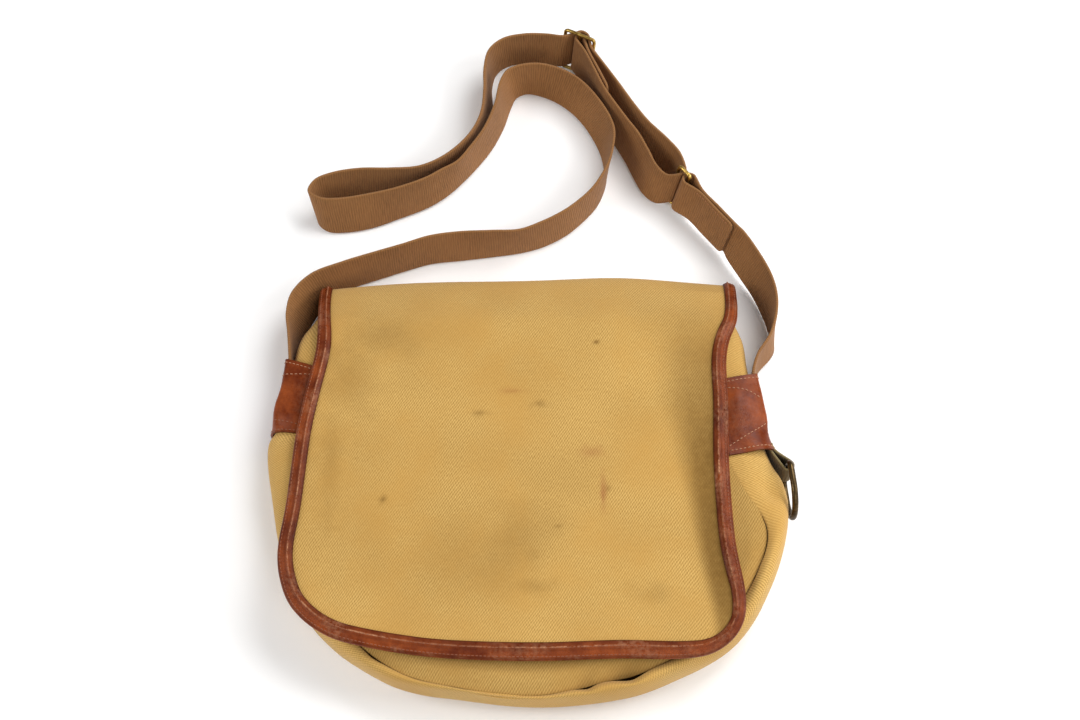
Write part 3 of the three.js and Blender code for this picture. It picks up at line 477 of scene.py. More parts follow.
gussetRows = [  # x, y, z of the seam, x, y, z of the widest place, how square the roll is, rise of its crest
    (-157, 157, 26, -178, 151, 15, 0.55, 0),
    (-160, 128, 36, -187, 131, 20, 0.65, 0),
    (-162, 101, 41, -191, 110, 22, 0.75, 0),
    (-165, 70, 43, -192.5, 79, 23, 0.8, 0),
    (-168, 41, 44, -202, 47, 24, 0.75, 0),
    (-169.5, 14, 44, -207, 25, 24, 0.6, 1),
    (-165, -56, 44, -190, -60, 24, 0.6, 1),
    (-147, -108, 43, -162, -115, 23, 0.6, 1),
    (-100, -149, 41, -108, -154, 21, 0.6, 2),
    (-48, -163, 39, -50, -166, 20, 0.6, 2),
    (6, -168, 38, 8, -172, 20, 0.6, 3),
    (56, -158, 39, 62, -168, 20, 0.6, 6),
    (98, -146, 41, 106, -155, 21, 0.6, 4),
    (144, -118, 43, 157, -125, 23, 0.6, 3),
    (170, -82, 44, 187, -78, 24, 0.6, 5),
    (183, -42, 44, 201.5, -31, 24, 0.6, 3),
    (166, -8, 44, 201, 1, 24, 0.65, 0),
    (152, 26, 44, 188, 33, 24, 0.75, 0),
    (150, 60, 43, 181.5, 66, 23, 0.8, 0),
    (149, 92, 41, 178, 98, 22, 0.8, 0),
    (150, 126, 36, 176, 128, 20, 0.65, 0),
    (152, 160, 26, 168, 154, 15, 0.55, 0),
]
gussetLook = {"footShare": 0.5, "footInset": 12, "floor": 2.4, "round": 420, "girth": 74,
              "cornerLeft": 7, "cornerRight": 13, "swell": 0.7, "free": (0.05, 0.3, 0.8, 0.98),
              "pucker": 0.18, "puckerWave": 5.5, "seamShade": 0.2, "gapeShade": 0.06, "mottle": 0.12,
              "lip": 0.72, "gapeDrop": 0.35, "seamTurn": 1.2, "tuck": 4.0, "lipTurn": 1.2, "lipIn": 0.8}
gussetTucks = [  # where the roll is drawn in: row of the table, share up to the seam, length, spread, depth
    (12.5, 0.76, 12, 0.12, 1.6),
    (15.85, 0.74, 11, 0.1, 4.2),
    (16.5, 0.62, 9, 0.16, 1.2),
    (5.4, 0.62, 18, 0.2, 1.2),
]
seamGapes = [  # where the seam opens into a dark pocket: row of the table, half length, width
    (7.72, 9, 1.2), (10.72, 6, 1.9), (11.42, 11, 3.2), (14.8, 22, 0.4),
]
seamDepths = [  # row of the table, how deep the seam's crease is: 0 where the cloth is pulled flat
    (0, 0.3), (6, 0.4), (8.5, 0.4), (11, 0.8), (13.2, 0.8), (14.2, 0.75), (15.0, 0.5), (15.5, 0.0),
    (20, 0.0),
]
lastRow = len(gussetRows) - 1
gussetTable = np.array(gussetRows, float)
seamPoints, sidePoints, formPoints = gussetTable[:, :3], gussetTable[:, 3:6], gussetTable[:, 6:]


def gussetSection(places):  # places count rows of the table
    seam, side, form = (curveThrough(p, places) for p in (seamPoints, sidePoints, formPoints))
    out = (side - seam) * (1, 1, 0)
    outward = unit(out)
    foot = side - out * gussetLook["footShare"] - outward * gussetLook["footInset"]
    foot[:, 2] = gussetLook["floor"]
    return {"seam": seam + outward * gussetLook["seamTurn"], "edge": seam, "side": side, "out": out,
            "outward": outward, "foot": foot, "square": form[:, :1], "crest": form[:, 1:2]}


def threeSides(last, look, down, across):  # places on a line round the U: left side, right side, bottom
    left, right = look["cornerLeft"], look["cornerRight"]
    return np.linspace(0, left, down), np.linspace(last, right, down), np.linspace(left, right, across)


def bezier(a, b, c, d, t):
    t = t[None, :, None]
    a, b, c, d = (p[:, None] for p in (a, b, c, d))
    return (1 - t) ** 3 * a + 3 * (1 - t) ** 2 * t * b + 3 * (1 - t) * t * t * c + t**3 * d


def withHeight(points, height):
    return np.concatenate([points[:, :2], height], 1)


def gussetSurface(places, girth):
    s = gussetSection(places)
    foot, side, seam, square = s["foot"], s["side"], s["seam"], s["square"]
    low, mid, high = foot[:, 2:], side[:, 2:], seam[:, 2:]
    t = np.linspace(0, 1, girth + 1)
    under = bezier(foot, withHeight(foot + (side - foot) * square, low),
                   withHeight(side, mid - (mid - low) * square), side, t)
    over = bezier(side, withHeight(side, mid + (high - mid) * square + s["crest"]),
                  withHeight(seam + s["out"] * square, high + s["crest"] * 1.6), seam, t[1:])
    return np.concatenate([under, over], 1), s


def seamDepth(places):
    rows, depths = np.array(seamDepths, float).T
    return np.interp(places, rows, depths)


def seamGape(places):  # millimetres that the seam is open at these places
    fine = np.linspace(0, lastRow, 600)
    run = lengthAlong(curveThrough(seamPoints, fine))
    at = lambda place: np.interp(place, fine, run)
    return sum(gape * np.exp(-((at(places) - at(place)) / wide) ** 2) for place, wide, gape in seamGapes)


def makeGusset():
    places = np.linspace(0, lastRow, gussetLook["round"])
    roll, s = gussetSurface(places, gussetLook["girth"])
    bend = np.linspace(0, math.pi / 2, 5)[1:, None]  # the lip rolls over, then the seam goes straight down
    bend = np.vstack([bend, bend[-1:], bend[-1:]])
    drop = gussetLook["lipTurn"] * (1 - np.cos(bend))
    drop[-2:, 0] = gussetLook["tuck"] * 0.6, gussetLook["tuck"]
    inward = s["outward"][:, None] * gussetLook["lipIn"] * np.sin(bend)
    tuck = s["seam"][:, None] - inward - np.array([0, 0, 1.0]) * drop
    grid = evenColumns(np.concatenate([roll, tuck], 1), gussetLook["girth"])
    run = lengthAlong(s["side"])
    girth = lengthAlong(grid, 1)
    along = run[:, None] + 0 * girth
    normal = gridNormals(grid)
    share = np.clip(girth / girth[:, -1:], 0, 1)
    depth = seamDepth(places)[:, None]
    free = riseAndFall(share, *gussetLook["free"])  # both seams hold it still
    swell = lumps(along, girth * 1.5, 46, 3) + 0.5 * lumps(along, girth, 19, 4)
    pucker = np.sin(run / gussetLook["puckerWave"])[:, None] * smoothStep(0.72, 0.93, share)
    pucker = pucker * gussetLook["pucker"] * depth
    tucked = 0
    for place, level, wide, spread, deep in gussetTucks:
        near = np.exp(-((run - np.interp(place, places, run)) / wide) ** 2)[:, None]
        tucked = tucked + deep * near * np.exp(-((share - level) / spread) ** 2)
    grid = grid + normal * (swell * free * gussetLook["swell"] + pucker - tucked)[..., None]
    gape = seamGape(places)[:, None] * smoothStep(gussetLook["lip"], 0.92, share)
    grid = grid + (s["outward"][:, None] - (0, 0, gussetLook["gapeDrop"])) * gape[..., None]
    normal = gridNormals(grid)
    # painted shade: darker in the seam's crease, more where it is deep, and in the pockets where the seam
    # gapes; the mottle is random tone
    grimeAndShade = gussetLook["seamShade"] * smoothStep(0.78, 1, share) * depth + gussetLook["gapeShade"] * gape
    grimeAndShade = np.clip(grimeAndShade + gussetLook["mottle"] * lumps(along, girth, 30, 8), 0, 1)
    addSheet("gusset_cloth", grid, grid - normal * canvasThick, np.stack([along, girth], -1), canvasCloth,
             "gusset", {"grimeAndShade": grimeAndShade, "rust": 0 * grimeAndShade})


# Back and front panels

flapEdgeRows = [  # the flap's edge from the left of the fold, round the bottom, to the right
    (-172, 165, 31), (-170, 140, 43), (-169, 110, 49), (-175, 72, 50.5), (-180, 37, 51),
    (-184, -22, 51), (-188, -58, 50), (-185, -82, 50), (-175, -104, 50), (-154, -122, 50),
    (-126, -132, 50), (-70, -141, 50), (0, -144, 50.5), (66, -142, 50), (112, -142, 49.5),
    (138, -137, 49), (156, -121, 50.5), (161, -97, 52.5), (155, -52, 54.5), (153.5, 10, 54.5),
    (155.5, 61, 53), (156, 98, 50), (160, 120, 46.5), (168, 142, 42.5), (170, 169, 31),
]
flapLook = {"cornerLeft": 8, "cornerRight": 16, "foldRadius": 14, "foldHeight": 17, "foldMiddle": 175,
            "foldTurn": 2, "foldBow": 8, "foldWave": 1.2, "foldHump": 1.7, "foldRows": 26, "foldEase": 60,
            "easeRows": (15, 24, 36, 52),
            "long": 330, "across": 200, "down": 176, "bed": 45.8, "brim": 9, "reachLeft": 41,
            "reachRight": 28, "reachFoot": 36, "softTop": 34, "ease": 9,
            # the rim darkening along all the flap's edges is painted shade
            "grimeAndShade": 0.14, "mottle": 0.07, "rimShade": 0.22, "rimReach": 12,
            "bandShade": 0.64, "bandFade": 0.24}  # painted shade: the dark band on the slope beside the right edge
frontLook = {"sink": 1.5, "across": 150, "down": 130, "seamDrop": 3.2, "seamReach": 3.5, "gapeReach": 9,
             "gapeDrop": 1.3, "close": 1.4, "swell": 4.0, "swellFrom": 16, "swellTo": 95,
             # the even darkening of the whole panel is painted shade from the flap above it, and the crease
             # darkening is painted shade too
             "swellLeft": (-152, -108), "lumps": 0.4, "grimeAndShade": 0.3, "creaseShade": 0.07, "mottle": 0.1}


def foldLine(u):
    left, right = flapEdgeRows[0][0], flapEdgeRows[-1][0]
    across = u * 2 - 1
    y = flapLook["foldMiddle"] + flapLook["foldTurn"] * across - flapLook["foldBow"] * across**2
    wave, hump = np.sin(u * 9.0 + 0.6) * np.sin(math.pi * u), np.exp(-((u - 0.72) / 0.13) ** 2)
    y = y + flapLook["foldWave"] * wave + flapLook["foldHump"] * hump
    z = np.full_like(u, flapLook["foldHeight"] + flapLook["foldRadius"])
    return np.stack([left + (right - left) * u, y, z], -1)


def makeBackPanel():
    margin, cols, rows = 3, 90, 80

    def foot(places):
        s = gussetSection(places)
        return (s["foot"] + s["outward"] * margin) * (1, 1, 0)

    left, right, bottom = (foot(places) for places in threeSides(lastRow, gussetLook, rows, cols))
    top = left[0] + (right[0] - left[0]) * np.linspace(0, 1, cols)[:, None]
    grid = patchBetween(top, bottom, left, right)
    reach = foldLine(np.linspace(0.02, 0.98, cols)) * (1, 1, 0) - (0, 0.5, 0)
    hem = top + (reach - top) * np.linspace(1, 0.1, 10)[:, None, None]
    grid = np.concatenate([hem, grid], 0)
    upper = grid + (0, 0, canvasThick)
    clean = 0 * grid[..., 0]
    addSheet("back_cloth", upper, grid, grid[..., :2], canvasCloth, "back_panel",
             {"grimeAndShade": 0.1 + clean, "rust": clean})


def makeFrontPanel():
    down, across = frontLook["down"], frontLook["across"]
    sides = threeSides(lastRow, gussetLook, down, across)

    def seam(places):  # it reaches the gusset's edge where the seam is pulled flat
        s = gussetSection(places)
        close = frontLook["close"] * smoothStep(0.25, 0, seamDepth(places))
        return s["edge"] + s["outward"] * close[:, None]

    left, right, bottom = (seam(places) for places in sides)
    top = left[0] + (right[0] - left[0]) * np.linspace(0, 1, across)[:, None]
    grid = patchBetween(top, bottom, left, right)
    u, v = np.linspace(0, 1, across)[None, :], np.linspace(0, 1, down)[:, None]
    wide, tall = lengthAlong(grid, 1), lengthAlong(grid, 0)
    fars = (wide, wide[:, -1:] - wide, tall[-1:] - tall)
    edge = np.minimum(np.minimum(fars[0], fars[1]), fars[2])
    crease = 0
    for far, places, axis in zip(fars, sides, (1, 1, 0)):
        depth, gape = (np.expand_dims(values, axis) for values in (seamDepth(places), seamGape(places)))
        here = depth * frontLook["seamDrop"] * np.exp(-far / frontLook["seamReach"])
        here = here + gape * frontLook["gapeDrop"] * np.exp(-((far / frontLook["gapeReach"]) ** 2))
        crease = np.maximum(crease, here)
    grid[..., 2] -= frontLook["sink"] * np.sin(math.pi * u) * np.sin(math.pi * v) + crease
    grid[..., 2] += frontLook["lumps"] * lumps(grid[..., 0], grid[..., 1], 38, 11) * smoothStep(2, 20, edge)
    plump = smoothStep(0, frontLook["swellFrom"], edge) * smoothStep(frontLook["swellTo"], 40, fars[2])
    plump = plump * smoothStep(*frontLook["swellLeft"], grid[..., 0])
    grid[..., 2] += frontLook["swell"] * plump  # full just above the bottom seam, up to the flap's edge
    normal = gridNormals(grid)
    normal = normal * np.sign(normal[..., 2:])
    mottle = frontLook["mottle"] * lumps(grid[..., 0], grid[..., 1], 30, 8)
    # painted shade: darker in the seams' creases, and evenly darker all over for the flap's shade; the mottle
    # is random tone
    grimeAndShade = np.clip(frontLook["creaseShade"] * crease + mottle + frontLook["grimeAndShade"], 0, 1)
    addSheet("front_cloth", grid, grid - normal * canvasThick, grid[..., :2], canvasCloth,
             "front_panel", {"grimeAndShade": grimeAndShade, "rust": 0 * grimeAndShade})


# Flap: over the fold and down the front

stainsAndShade = [  # middle and half sizes on the flap, and how dark
    # the long narrow one at (-154, 14) is painted shade along the flap's left side; the two at (-118, 122)
    # and (-142, 84) are soft dark smears; the rest are stains
    (-14, -50, 30, 26, 0.26), (2, -62, 12, 13, 0.24), (6, -88, 15, 8, 0.3), (-46, -62, 60, 44, 0.15),
    (96, -93, 18, 9, 0.22), (-118, 122, 30, 20, 0.24), (-142, 84, 20, 34, 0.3), (-154, 14, 10, 60, 0.2),
    (20, 10, 40, 20, 0.08), (112, 140, 40, 18, 0.12),
]
specks = [  # the same, small
    (54, 118, 2.2, 1.6, 0.8), (-38, 56, 5, 2.4, 0.5), (-112, -18, 2.4, 3.5, 0.7),
    (23, -40, 3, 2.5, 0.5), (8, 64, 6, 3, 0.4), (62, -8, 3, 3, 0.4),
]
scratches = [  # the same, in rust
    (58, -12, 2.2, 12, 0.7), (50, 22, 9, 5, 0.35), (-12, 75, 9, 2, 0.35),
]


def blots(x, y, rows):
    dark = np.zeros_like(x)
    for k, (midX, midY, wide, tall, most) in enumerate(rows):
        ragged = 1 + 0.35 * lumps(x, y, wide * 0.5 + 1.5, 40 + k)
        far = np.hypot((x - midX) / wide, (y - midY) / tall) * ragged
        dark = np.maximum(dark, most * np.exp(-(far**2) * 1.2))
    return dark


def makeFlap():
    rim = np.array(flapEdgeRows, float)
    sides = threeSides(len(rim) - 1, flapLook, flapLook["down"], flapLook["across"])
    left, right, bottom = (curveThrough(rim, places) for places in sides)
    top = foldLine(np.linspace(0, 1, flapLook["across"]))
    front = patchBetween(top, bottom, left, right)
    wide, tall = lengthAlong(front, 1), lengthAlong(front, 0)
    v = np.linspace(0, 1, flapLook["down"])[:, None]
    high = smoothStep(0.8, 0.3, v)  # the shaded slope beside the right edge is soft at its upper end
    reachRight = flapLook["reachRight"] + flapLook["softTop"] * high
    ramp = lambda far, reach: np.clip((far - flapLook["brim"]) / (reach - flapLook["brim"]), 0, 1)
    fromRight = wide[:, -1:] - wide
    sunk = (ramp(wide, flapLook["reachLeft"]) * ramp(fromRight, reachRight)
            * ramp(tall[-1:] - tall, flapLook["reachFoot"]) * smoothStep(0, 0.3, v))
    for _ in range(flapLook["ease"]):
        sunk[1:-1, 1:-1] = (sunk[1:-1, 1:-1] * 2 + sunk[:-2, 1:-1] + sunk[2:, 1:-1]
                            + sunk[1:-1, :-2] + sunk[1:-1, 2:]) / 6
    front[..., 2] += (flapLook["bed"] - front[..., 2]) * sunk  # the stiff edges stand up
    for rise, size, seed in ((0.7, 62, 21), (0.3, 24, 22)):
        front[..., 2] += rise * lumps(front[..., 0], front[..., 1], size, seed) * sunk
    # the fold is half a turn, from the back panel up to the front's first row
    angles = np.linspace(-math.pi / 2, math.pi / 2, flapLook["foldRows"])[:-1, None]
    ring = flapLook["foldRadius"] * np.stack([0 * angles, np.cos(angles), np.sin(angles)], -1)
    fold = top[None] + ring - (0, 0, flapLook["foldRadius"])
    grid = np.concatenate([fold, front], 0)
    share = riseAndFall(np.arange(1, len(grid) - 1), *flapLook["easeRows"])[:, None, None]
    for _ in range(flapLook["foldEase"]):  # eases the step between the fold and the front
        between = (grid[:-2] + grid[2:]) / 2
        grid[1:-1] += (between - grid[1:-1]) * share
    normal = gridNormals(grid)
    along = lengthAlong(grid, 0)
    places = np.stack([grid[..., 0], flapLook["long"] - along], -1)
    x, y = grid[..., 0], grid[..., 1]
    # painted shade: a dark band on the slope beside the right edge, and darkening along every edge of the
    # flap
    bandShade = flapLook["bandShade"] - flapLook["bandFade"] * smoothStep(0.65, 0.35, v)
    band = smoothStep(reachRight + 2, reachRight - 9 - 22 * high, fromRight)
    rimShade = flapLook["rimShade"] * np.exp(-np.minimum(wide, fromRight) / flapLook["rimReach"])
    rimShade = rimShade + bandShade * band
    rimShade = np.concatenate([np.repeat(rimShade[:1] * 0.3, len(fold), 0), rimShade * smoothStep(0, 0.35, v)])
    grimeAndShade = np.clip(np.maximum(blots(x, y, stainsAndShade), blots(x, y, specks)) + rimShade
                    + flapLook["grimeAndShade"] + flapLook["mottle"] * lumps(x, y, 34, 8), 0, 1)
    half = normal * canvasThick / 2
    piece = addSheet("flap_cloth", grid + half, grid - half, places, canvasCloth, "flap",
                     {"grimeAndShade": grimeAndShade, "rust": blots(x, y, scratches)})
    return grid


# Binding: a leather strip folded round the flap's edge and sewn through twice

bindingLook = {"steps": 760, "firstBack": 4, "ease": 6, "side": 0.72, "foot": 0.86, "end": 0.12,
               "endReach": 95, "corner": 0.16, "cornerX": 152, "cornerY": -126, "cornerReach": 42, "bare": 34,
               "ridge": 8.3, "ridgeWide": 0.6}
bindingFace = [  # inward from the flap's edge, and height over the flap's middle
    (13.6, 1.25), (13.6, 1.9), (12.9, 2.5), (11.6, 2.9), (10.3, 3.2), (9.2, 3.75), (8.3, 4.1),
    (7.3, 3.95), (6.2, 3.55), (5.0, 3.4), (3.8, 3.3), (2.7, 3.05), (1.6, 2.75), (0.6, 2.75),
    (-0.8, 2.3), (-1.7, 1.3), (-2.0, 0.0), (-1.7, -1.3), (-0.8, -2.3), (0.8, -2.7), (6.0, -2.8),
    (12.6, -2.6), (13.4, -2.2), (13.5, -1.25), (6.0, -1.2), (0.2, -1.2), (-0.3, 0.0), (0.2, 1.2),
    (6.0, 1.2),
]
# painted shade along the inner edge, beside the ridge and on the rolled outer edge, and a darker inner band
bindingShade = [(13.2, 1.0, 0.7), (11.0, 2.0, 0.3), (5.6, 1.2, 0.3), (-1.2, 1.0, 0.5)]  # inward, width, dark
bindingThread = {"pitch": 3.0, "long": 2.1, "thick": 0.55}
bindingRows = [(0.5, 2.7), (7.9, 4.0)]  # stitches, measured as the face is


def eased(values, passes):
    for _ in range(passes):
        values[1:-1] = (values[:-2] + 2 * values[1:-1] + values[2:]) / 4
    return values


def makeBinding(grid):
    rows, cols = grid.shape[:2]
    cloth = BVHTree.FromPolygons(grid.reshape(-1, 3).tolist(), gridFaces(rows, cols, flip=True).tolist())
    start = bindingLook["firstBack"]
    edgeOf = lambda field: np.concatenate([field[start:-1, 0], field[-1], field[start:-1, -1][::-1]])
    rim, rimUp = edgeOf(grid), edgeOf(gridNormals(grid))
    full = lengthAlong(rim)
    run = np.linspace(0, full[-1], bindingLook["steps"])
    at = lambda values: np.stack([np.interp(run, full, values[:, k]) for k in range(3)], -1)
    points = eased(at(rim), bindingLook["ease"])
    ahead = unit(eased(np.gradient(points, axis=0), bindingLook["ease"]))
    inward = unit(np.cross(unit(eased(at(rimUp), bindingLook["ease"])), ahead))
    reach = np.linspace(0, 15, 6)
    probes = points[:, None] + inward[:, None] * reach[None, :, None]
    found = [cloth.find_nearest(Vector(probe)) for probe in probes.reshape(-1, 3)]
    spots = np.array([hit[0] for hit in found]).reshape(probes.shape)
    ups = unit(eased(np.array([hit[1] for hit in found]).reshape(probes.shape), bindingLook["ease"]))
    spots[:, 0] = points

    sideways = np.abs(inward[:, 0])
    narrow = bindingLook["foot"] * (1 - sideways) + bindingLook["side"] * sideways
    narrow -= bindingLook["end"] * smoothStep(bindingLook["endReach"], 40, np.minimum(run, run[-1] - run))
    fromCorner = np.hypot(points[:, 0] - bindingLook["cornerX"], points[:, 1] - bindingLook["cornerY"])
    narrow -= bindingLook["corner"] * np.exp(-((fromCorner / bindingLook["cornerReach"]) ** 2))
    every = np.arange(len(run))

    def over(s, h):  # points this far inward and this far above the flap's middle
        if s <= 0:
            return points + inward * s + ups[:, 0] * h
        far = s * narrow
        k = np.clip(np.searchsorted(reach, far) - 1, 0, len(reach) - 2)
        t = ((far - reach[k]) / (reach[k + 1] - reach[k]))[:, None]
        return spots[every, k] * (1 - t) + spots[every, k + 1] * t + ups[every, k] * h

    face = np.array(bindingFace, float)
    dense = curveThrough(np.vstack([face, face[:1]]), np.arange(0, len(face), 0.5))
    sections = np.stack([over(s, h) for s, h in dense], 1)
    along, across = run[:, None] + 0 * dense[None, :, 0], dense[None, :, 0] + 0 * run[:, None]
    upper = dense[None, :, 1] > 1.4  # the face that shows
    wobble = 0.12 * lumps(along, 3 * across, 7, 31) + 0.2 * lumps(along, across, 26, 32)
    sections = sections + ups[:, :1] * (wobble * upper)[..., None]
    around = lengthAlong(np.vstack([dense, dense[:1]]))
    cracked = np.clip(0.5 + 0.6 * lumps(along, 0 * across, 60, 34), 0.1, 1)
    groove = lambda inset, wide: np.exp(-(((across - inset) / wide) ** 2)) * upper
    # a painted highlight, broken up, runs along its ridge over a few random pale scuffs; painted shade lies
    # along its inner edge, beside the ridge and on its rolled outer edge, and its inner band is darker
    ridge = groove(bindingLook["ridge"], bindingLook["ridgeWide"])
    wornAndSheen = ridge * np.clip(0.7 + 0.5 * lumps(along, 0 * across, 26, 33), 0.2, 0.95)
    wornAndSheen = np.maximum(wornAndSheen, upper * np.clip(0.3 * lumps(along, across, 12, 35), 0, 0.3))
    soiledAndShaded = np.clip(sum(dark * groove(inset, wide) for inset, wide, dark in bindingShade), 0, 1)
    addRibbon("binding_leather", sections, run, around, leatherHide, "flap_binding",
              fields={"wornAndSheen": wornAndSheen, "cracked": cracked, "soiledAndShaded": soiledAndShaded}, sharp=70)
    runs = []
    bare = np.flatnonzero(fromCorner < bindingLook["bare"])  # no thread shows round the rolled corner
    for inset, height in bindingRows:
        line = over(inset, height)
        for part in (slice(0, bare[0]), slice(bare[-1], None)):
            runs.append((line[part], ups[part, 1], bindingThread))
    addStitches("binding_stitches", runs, leatherThread)


# Strap tabs: leather over the strap's ends, from the gusset's outer face in to the flap

tabs = {
    "left": {"first": 2.2, "last": 4.2, "solid": "strap_tab_left", "rows": [
        [(0.05, 0.3), (0.05, 0.6), (0.06, 0.98)], [(0.25, 0.42), (0.18, 0.72), (0.11, 0.96)]],
        "fadedRows": [
        [(0.05, 0.88), (0.5, 0.89), (0.95, 0.88)], [(0.06, 0.93), (0.5, 0.94), (0.95, 0.93)],
        [(0.95, 0.3), (0.95, 0.6), (0.95, 0.98)], [(0.8, 0.5), (0.83, 0.7), (0.86, 0.9)]], "bulge": 0.0},
    "right": {"first": 16.8, "last": 18.8, "solid": "strap_tab_right", "rows": [
        [(0.05, 0.3), (0.05, 0.6), (0.05, 0.98)], [(0.66, 0.52), (0.79, 0.7), (0.88, 0.98)],
        [(0.95, 0.3), (0.95, 0.6), (0.95, 0.98)], [(0.34, 0.5), (0.22, 0.72), (0.1, 0.98)]],
        "fadedRows": [], "bulge": 4.2},
}  # stitch rows: shares down the tab and up from its foot; bulge: over the ring keeper's sewn end
tabThread = {"pitch": 3.4, "long": 2.3, "thick": 0.7}
tabLook = {"foot": 3, "bend": 1.5, "sag": 1.2, "seamOut": 2.2, "seamGap": 2, "seamRise": 0.4, "clear": 0.7,
           "along": 90, "lap": 0.7, "hug": 0.5, "strapEnd": 0.55, "snug": 0.94, "puff": 1.6,
           "puffDown": (0.04, 0.3, 0.7, 0.98), "puffUp": (0.42, 0.62, 0.8, 1), "bulgeFrom": 0.7,
           "bulgeUp": (0.02, 0.16, 0.56, 0.86)}  # shares down the tab and up from its foot
strapLook = {"width": 38, "thick": 2.4, "floor": 1.3, "lift": 1.6, "perRow": 9}


def tabSurface(places, depth):
    s = gussetSection(places)
    seam, side, outward = s["edge"] + s["outward"] * tabLook["seamOut"], s["side"], s["outward"]
    wall = 2 * tabLook["clear"] + strapLook["thick"] + depth
    top = strapLook["lift"] + strapLook["width"] + tabLook["clear"] + depth
    turn = tabLook["bend"] + depth
    at = lambda out, z: withHeight(side + outward * out, np.full((len(side), 1), z))
    rows = [at(wall, z) for z in np.linspace(tabLook["foot"], top - turn, 26)[:-1]]
    for a in np.linspace(0, math.pi / 2, 10):
        rows.append(at(wall - turn + turn * math.cos(a), top - turn + turn * math.sin(a)))
    shoulder = rows[-1]
    end = withHeight(seam + outward * tabLook["seamGap"], seam[:, 2:] + tabLook["seamRise"] + depth)
    for t in np.linspace(0, 1, 30)[1:]:
        point = shoulder * (1 - t) + end * t
        point[:, 2] += tabLook["sag"] * math.sin(math.pi * t)
        rows.append(point)
    return np.stack(rows, 1)


def hugging(places, depth, shares):  # the gusset's own face, a little way out
    steps = 40
    roll = gussetSurface(places, steps)[0]
    girth = lengthAlong(roll, 1)
    lines = []
    for k in range(len(roll)):
        start = np.interp(tabLook["foot"] + 2, roll[k, :steps, 2], girth[k, :steps])
        spots = start + (girth[k, -1] - tabLook["seamGap"] - start) * shares[k]
        lines.append(np.stack([np.interp(spots, girth[k], roll[k, :, a]) for a in range(3)], -1))
    grid = np.array(lines)
    return grid + gridNormals(grid) * (tabLook["hug"] + depth)


def onGrid(grid, spots):  # points of a grid at shares along and across it
    rows, cols = grid.shape[:2]
    i, j = spots[:, 0] * (rows - 1), spots[:, 1] * (cols - 1)
    a, b = np.minimum(i.astype(int), rows - 2), np.minimum(j.astype(int), cols - 2)
    s, t = (i - a)[:, None], (j - b)[:, None]
    return (grid[a, b] * (1 - s) * (1 - t) + grid[a + 1, b] * s * (1 - t)
            + grid[a, b + 1] * (1 - s) * t + grid[a + 1, b + 1] * s * t)


def makeTab(side):
    tab = tabs[side]
    places = np.linspace(tab["first"], tab["last"], tabLook["along"])
    outer = tabSurface(places, leatherThick)
    shares = lengthAlong(outer, 1)
    shares = shares / shares[:, -1:]
    down = np.linspace(0, 1, len(places))[::1 if side == "left" else -1, None]
    snug = tabLook["snug"] * smoothStep(tabLook["strapEnd"], 1, down)[..., None]
    outer = outer * (1 - snug) + hugging(places, leatherThick, shares) * snug
    normal = gridNormals(outer)
    # a soft swell of its upper face, and a lump over the keeper's sewn end
    puff = riseAndFall(down, *tabLook["puffDown"]) * riseAndFall(shares, *tabLook["puffUp"])
    over = smoothStep(tabLook["bulgeFrom"], 1, down) * riseAndFall(shares, *tabLook["bulgeUp"])
    outer = outer + normal * (tabLook["puff"] * puff + tab["bulge"] * over)[..., None]
    normal = gridNormals(outer)
    inner = outer - normal * leatherThick
    girth, run = lengthAlong(outer, 1), lengthAlong(outer, 0)
    wornAndSheen = np.clip(0.1 * lumps(run, girth, 17, 51), 0, 0.1)
    cracked = np.clip(0.1 + 0.3 * lumps(run, girth, 22, 52), 0, 0.5)
    rim = np.minimum(np.minimum(run, run[-1:] - run), girth[:, -1:] - girth)
    # darker towards all its edges, with a little random tone
    soiledAndShaded = np.clip(0.55 * np.exp(-rim / 1.4) + 0.2 * lumps(run, girth, 26, 53), 0, 1)
    addSheet("tab_leather_" + side, outer, inner, np.stack([run, girth], -1), leatherHide,
             tab["solid"], {"wornAndSheen": wornAndSheen, "cracked": cracked, "soiledAndShaded": soiledAndShaded})
    for rows, name, thread in ((tab["rows"], "tab_stitches_", paleThread),
                               (tab["fadedRows"], "tab_faded_", leatherThread)):
        runs = []
        for row in rows:
            spots = curveThrough(np.array(row), np.linspace(0, len(row) - 1, 60))
            runs.append((onGrid(outer, spots), onGrid(normal, spots), tabThread))
        if runs:
            addStitches(name + side, runs, thread)


# Webbing strap: the lower edge stands on the floor, and the upper edge leans by leanX, leanY

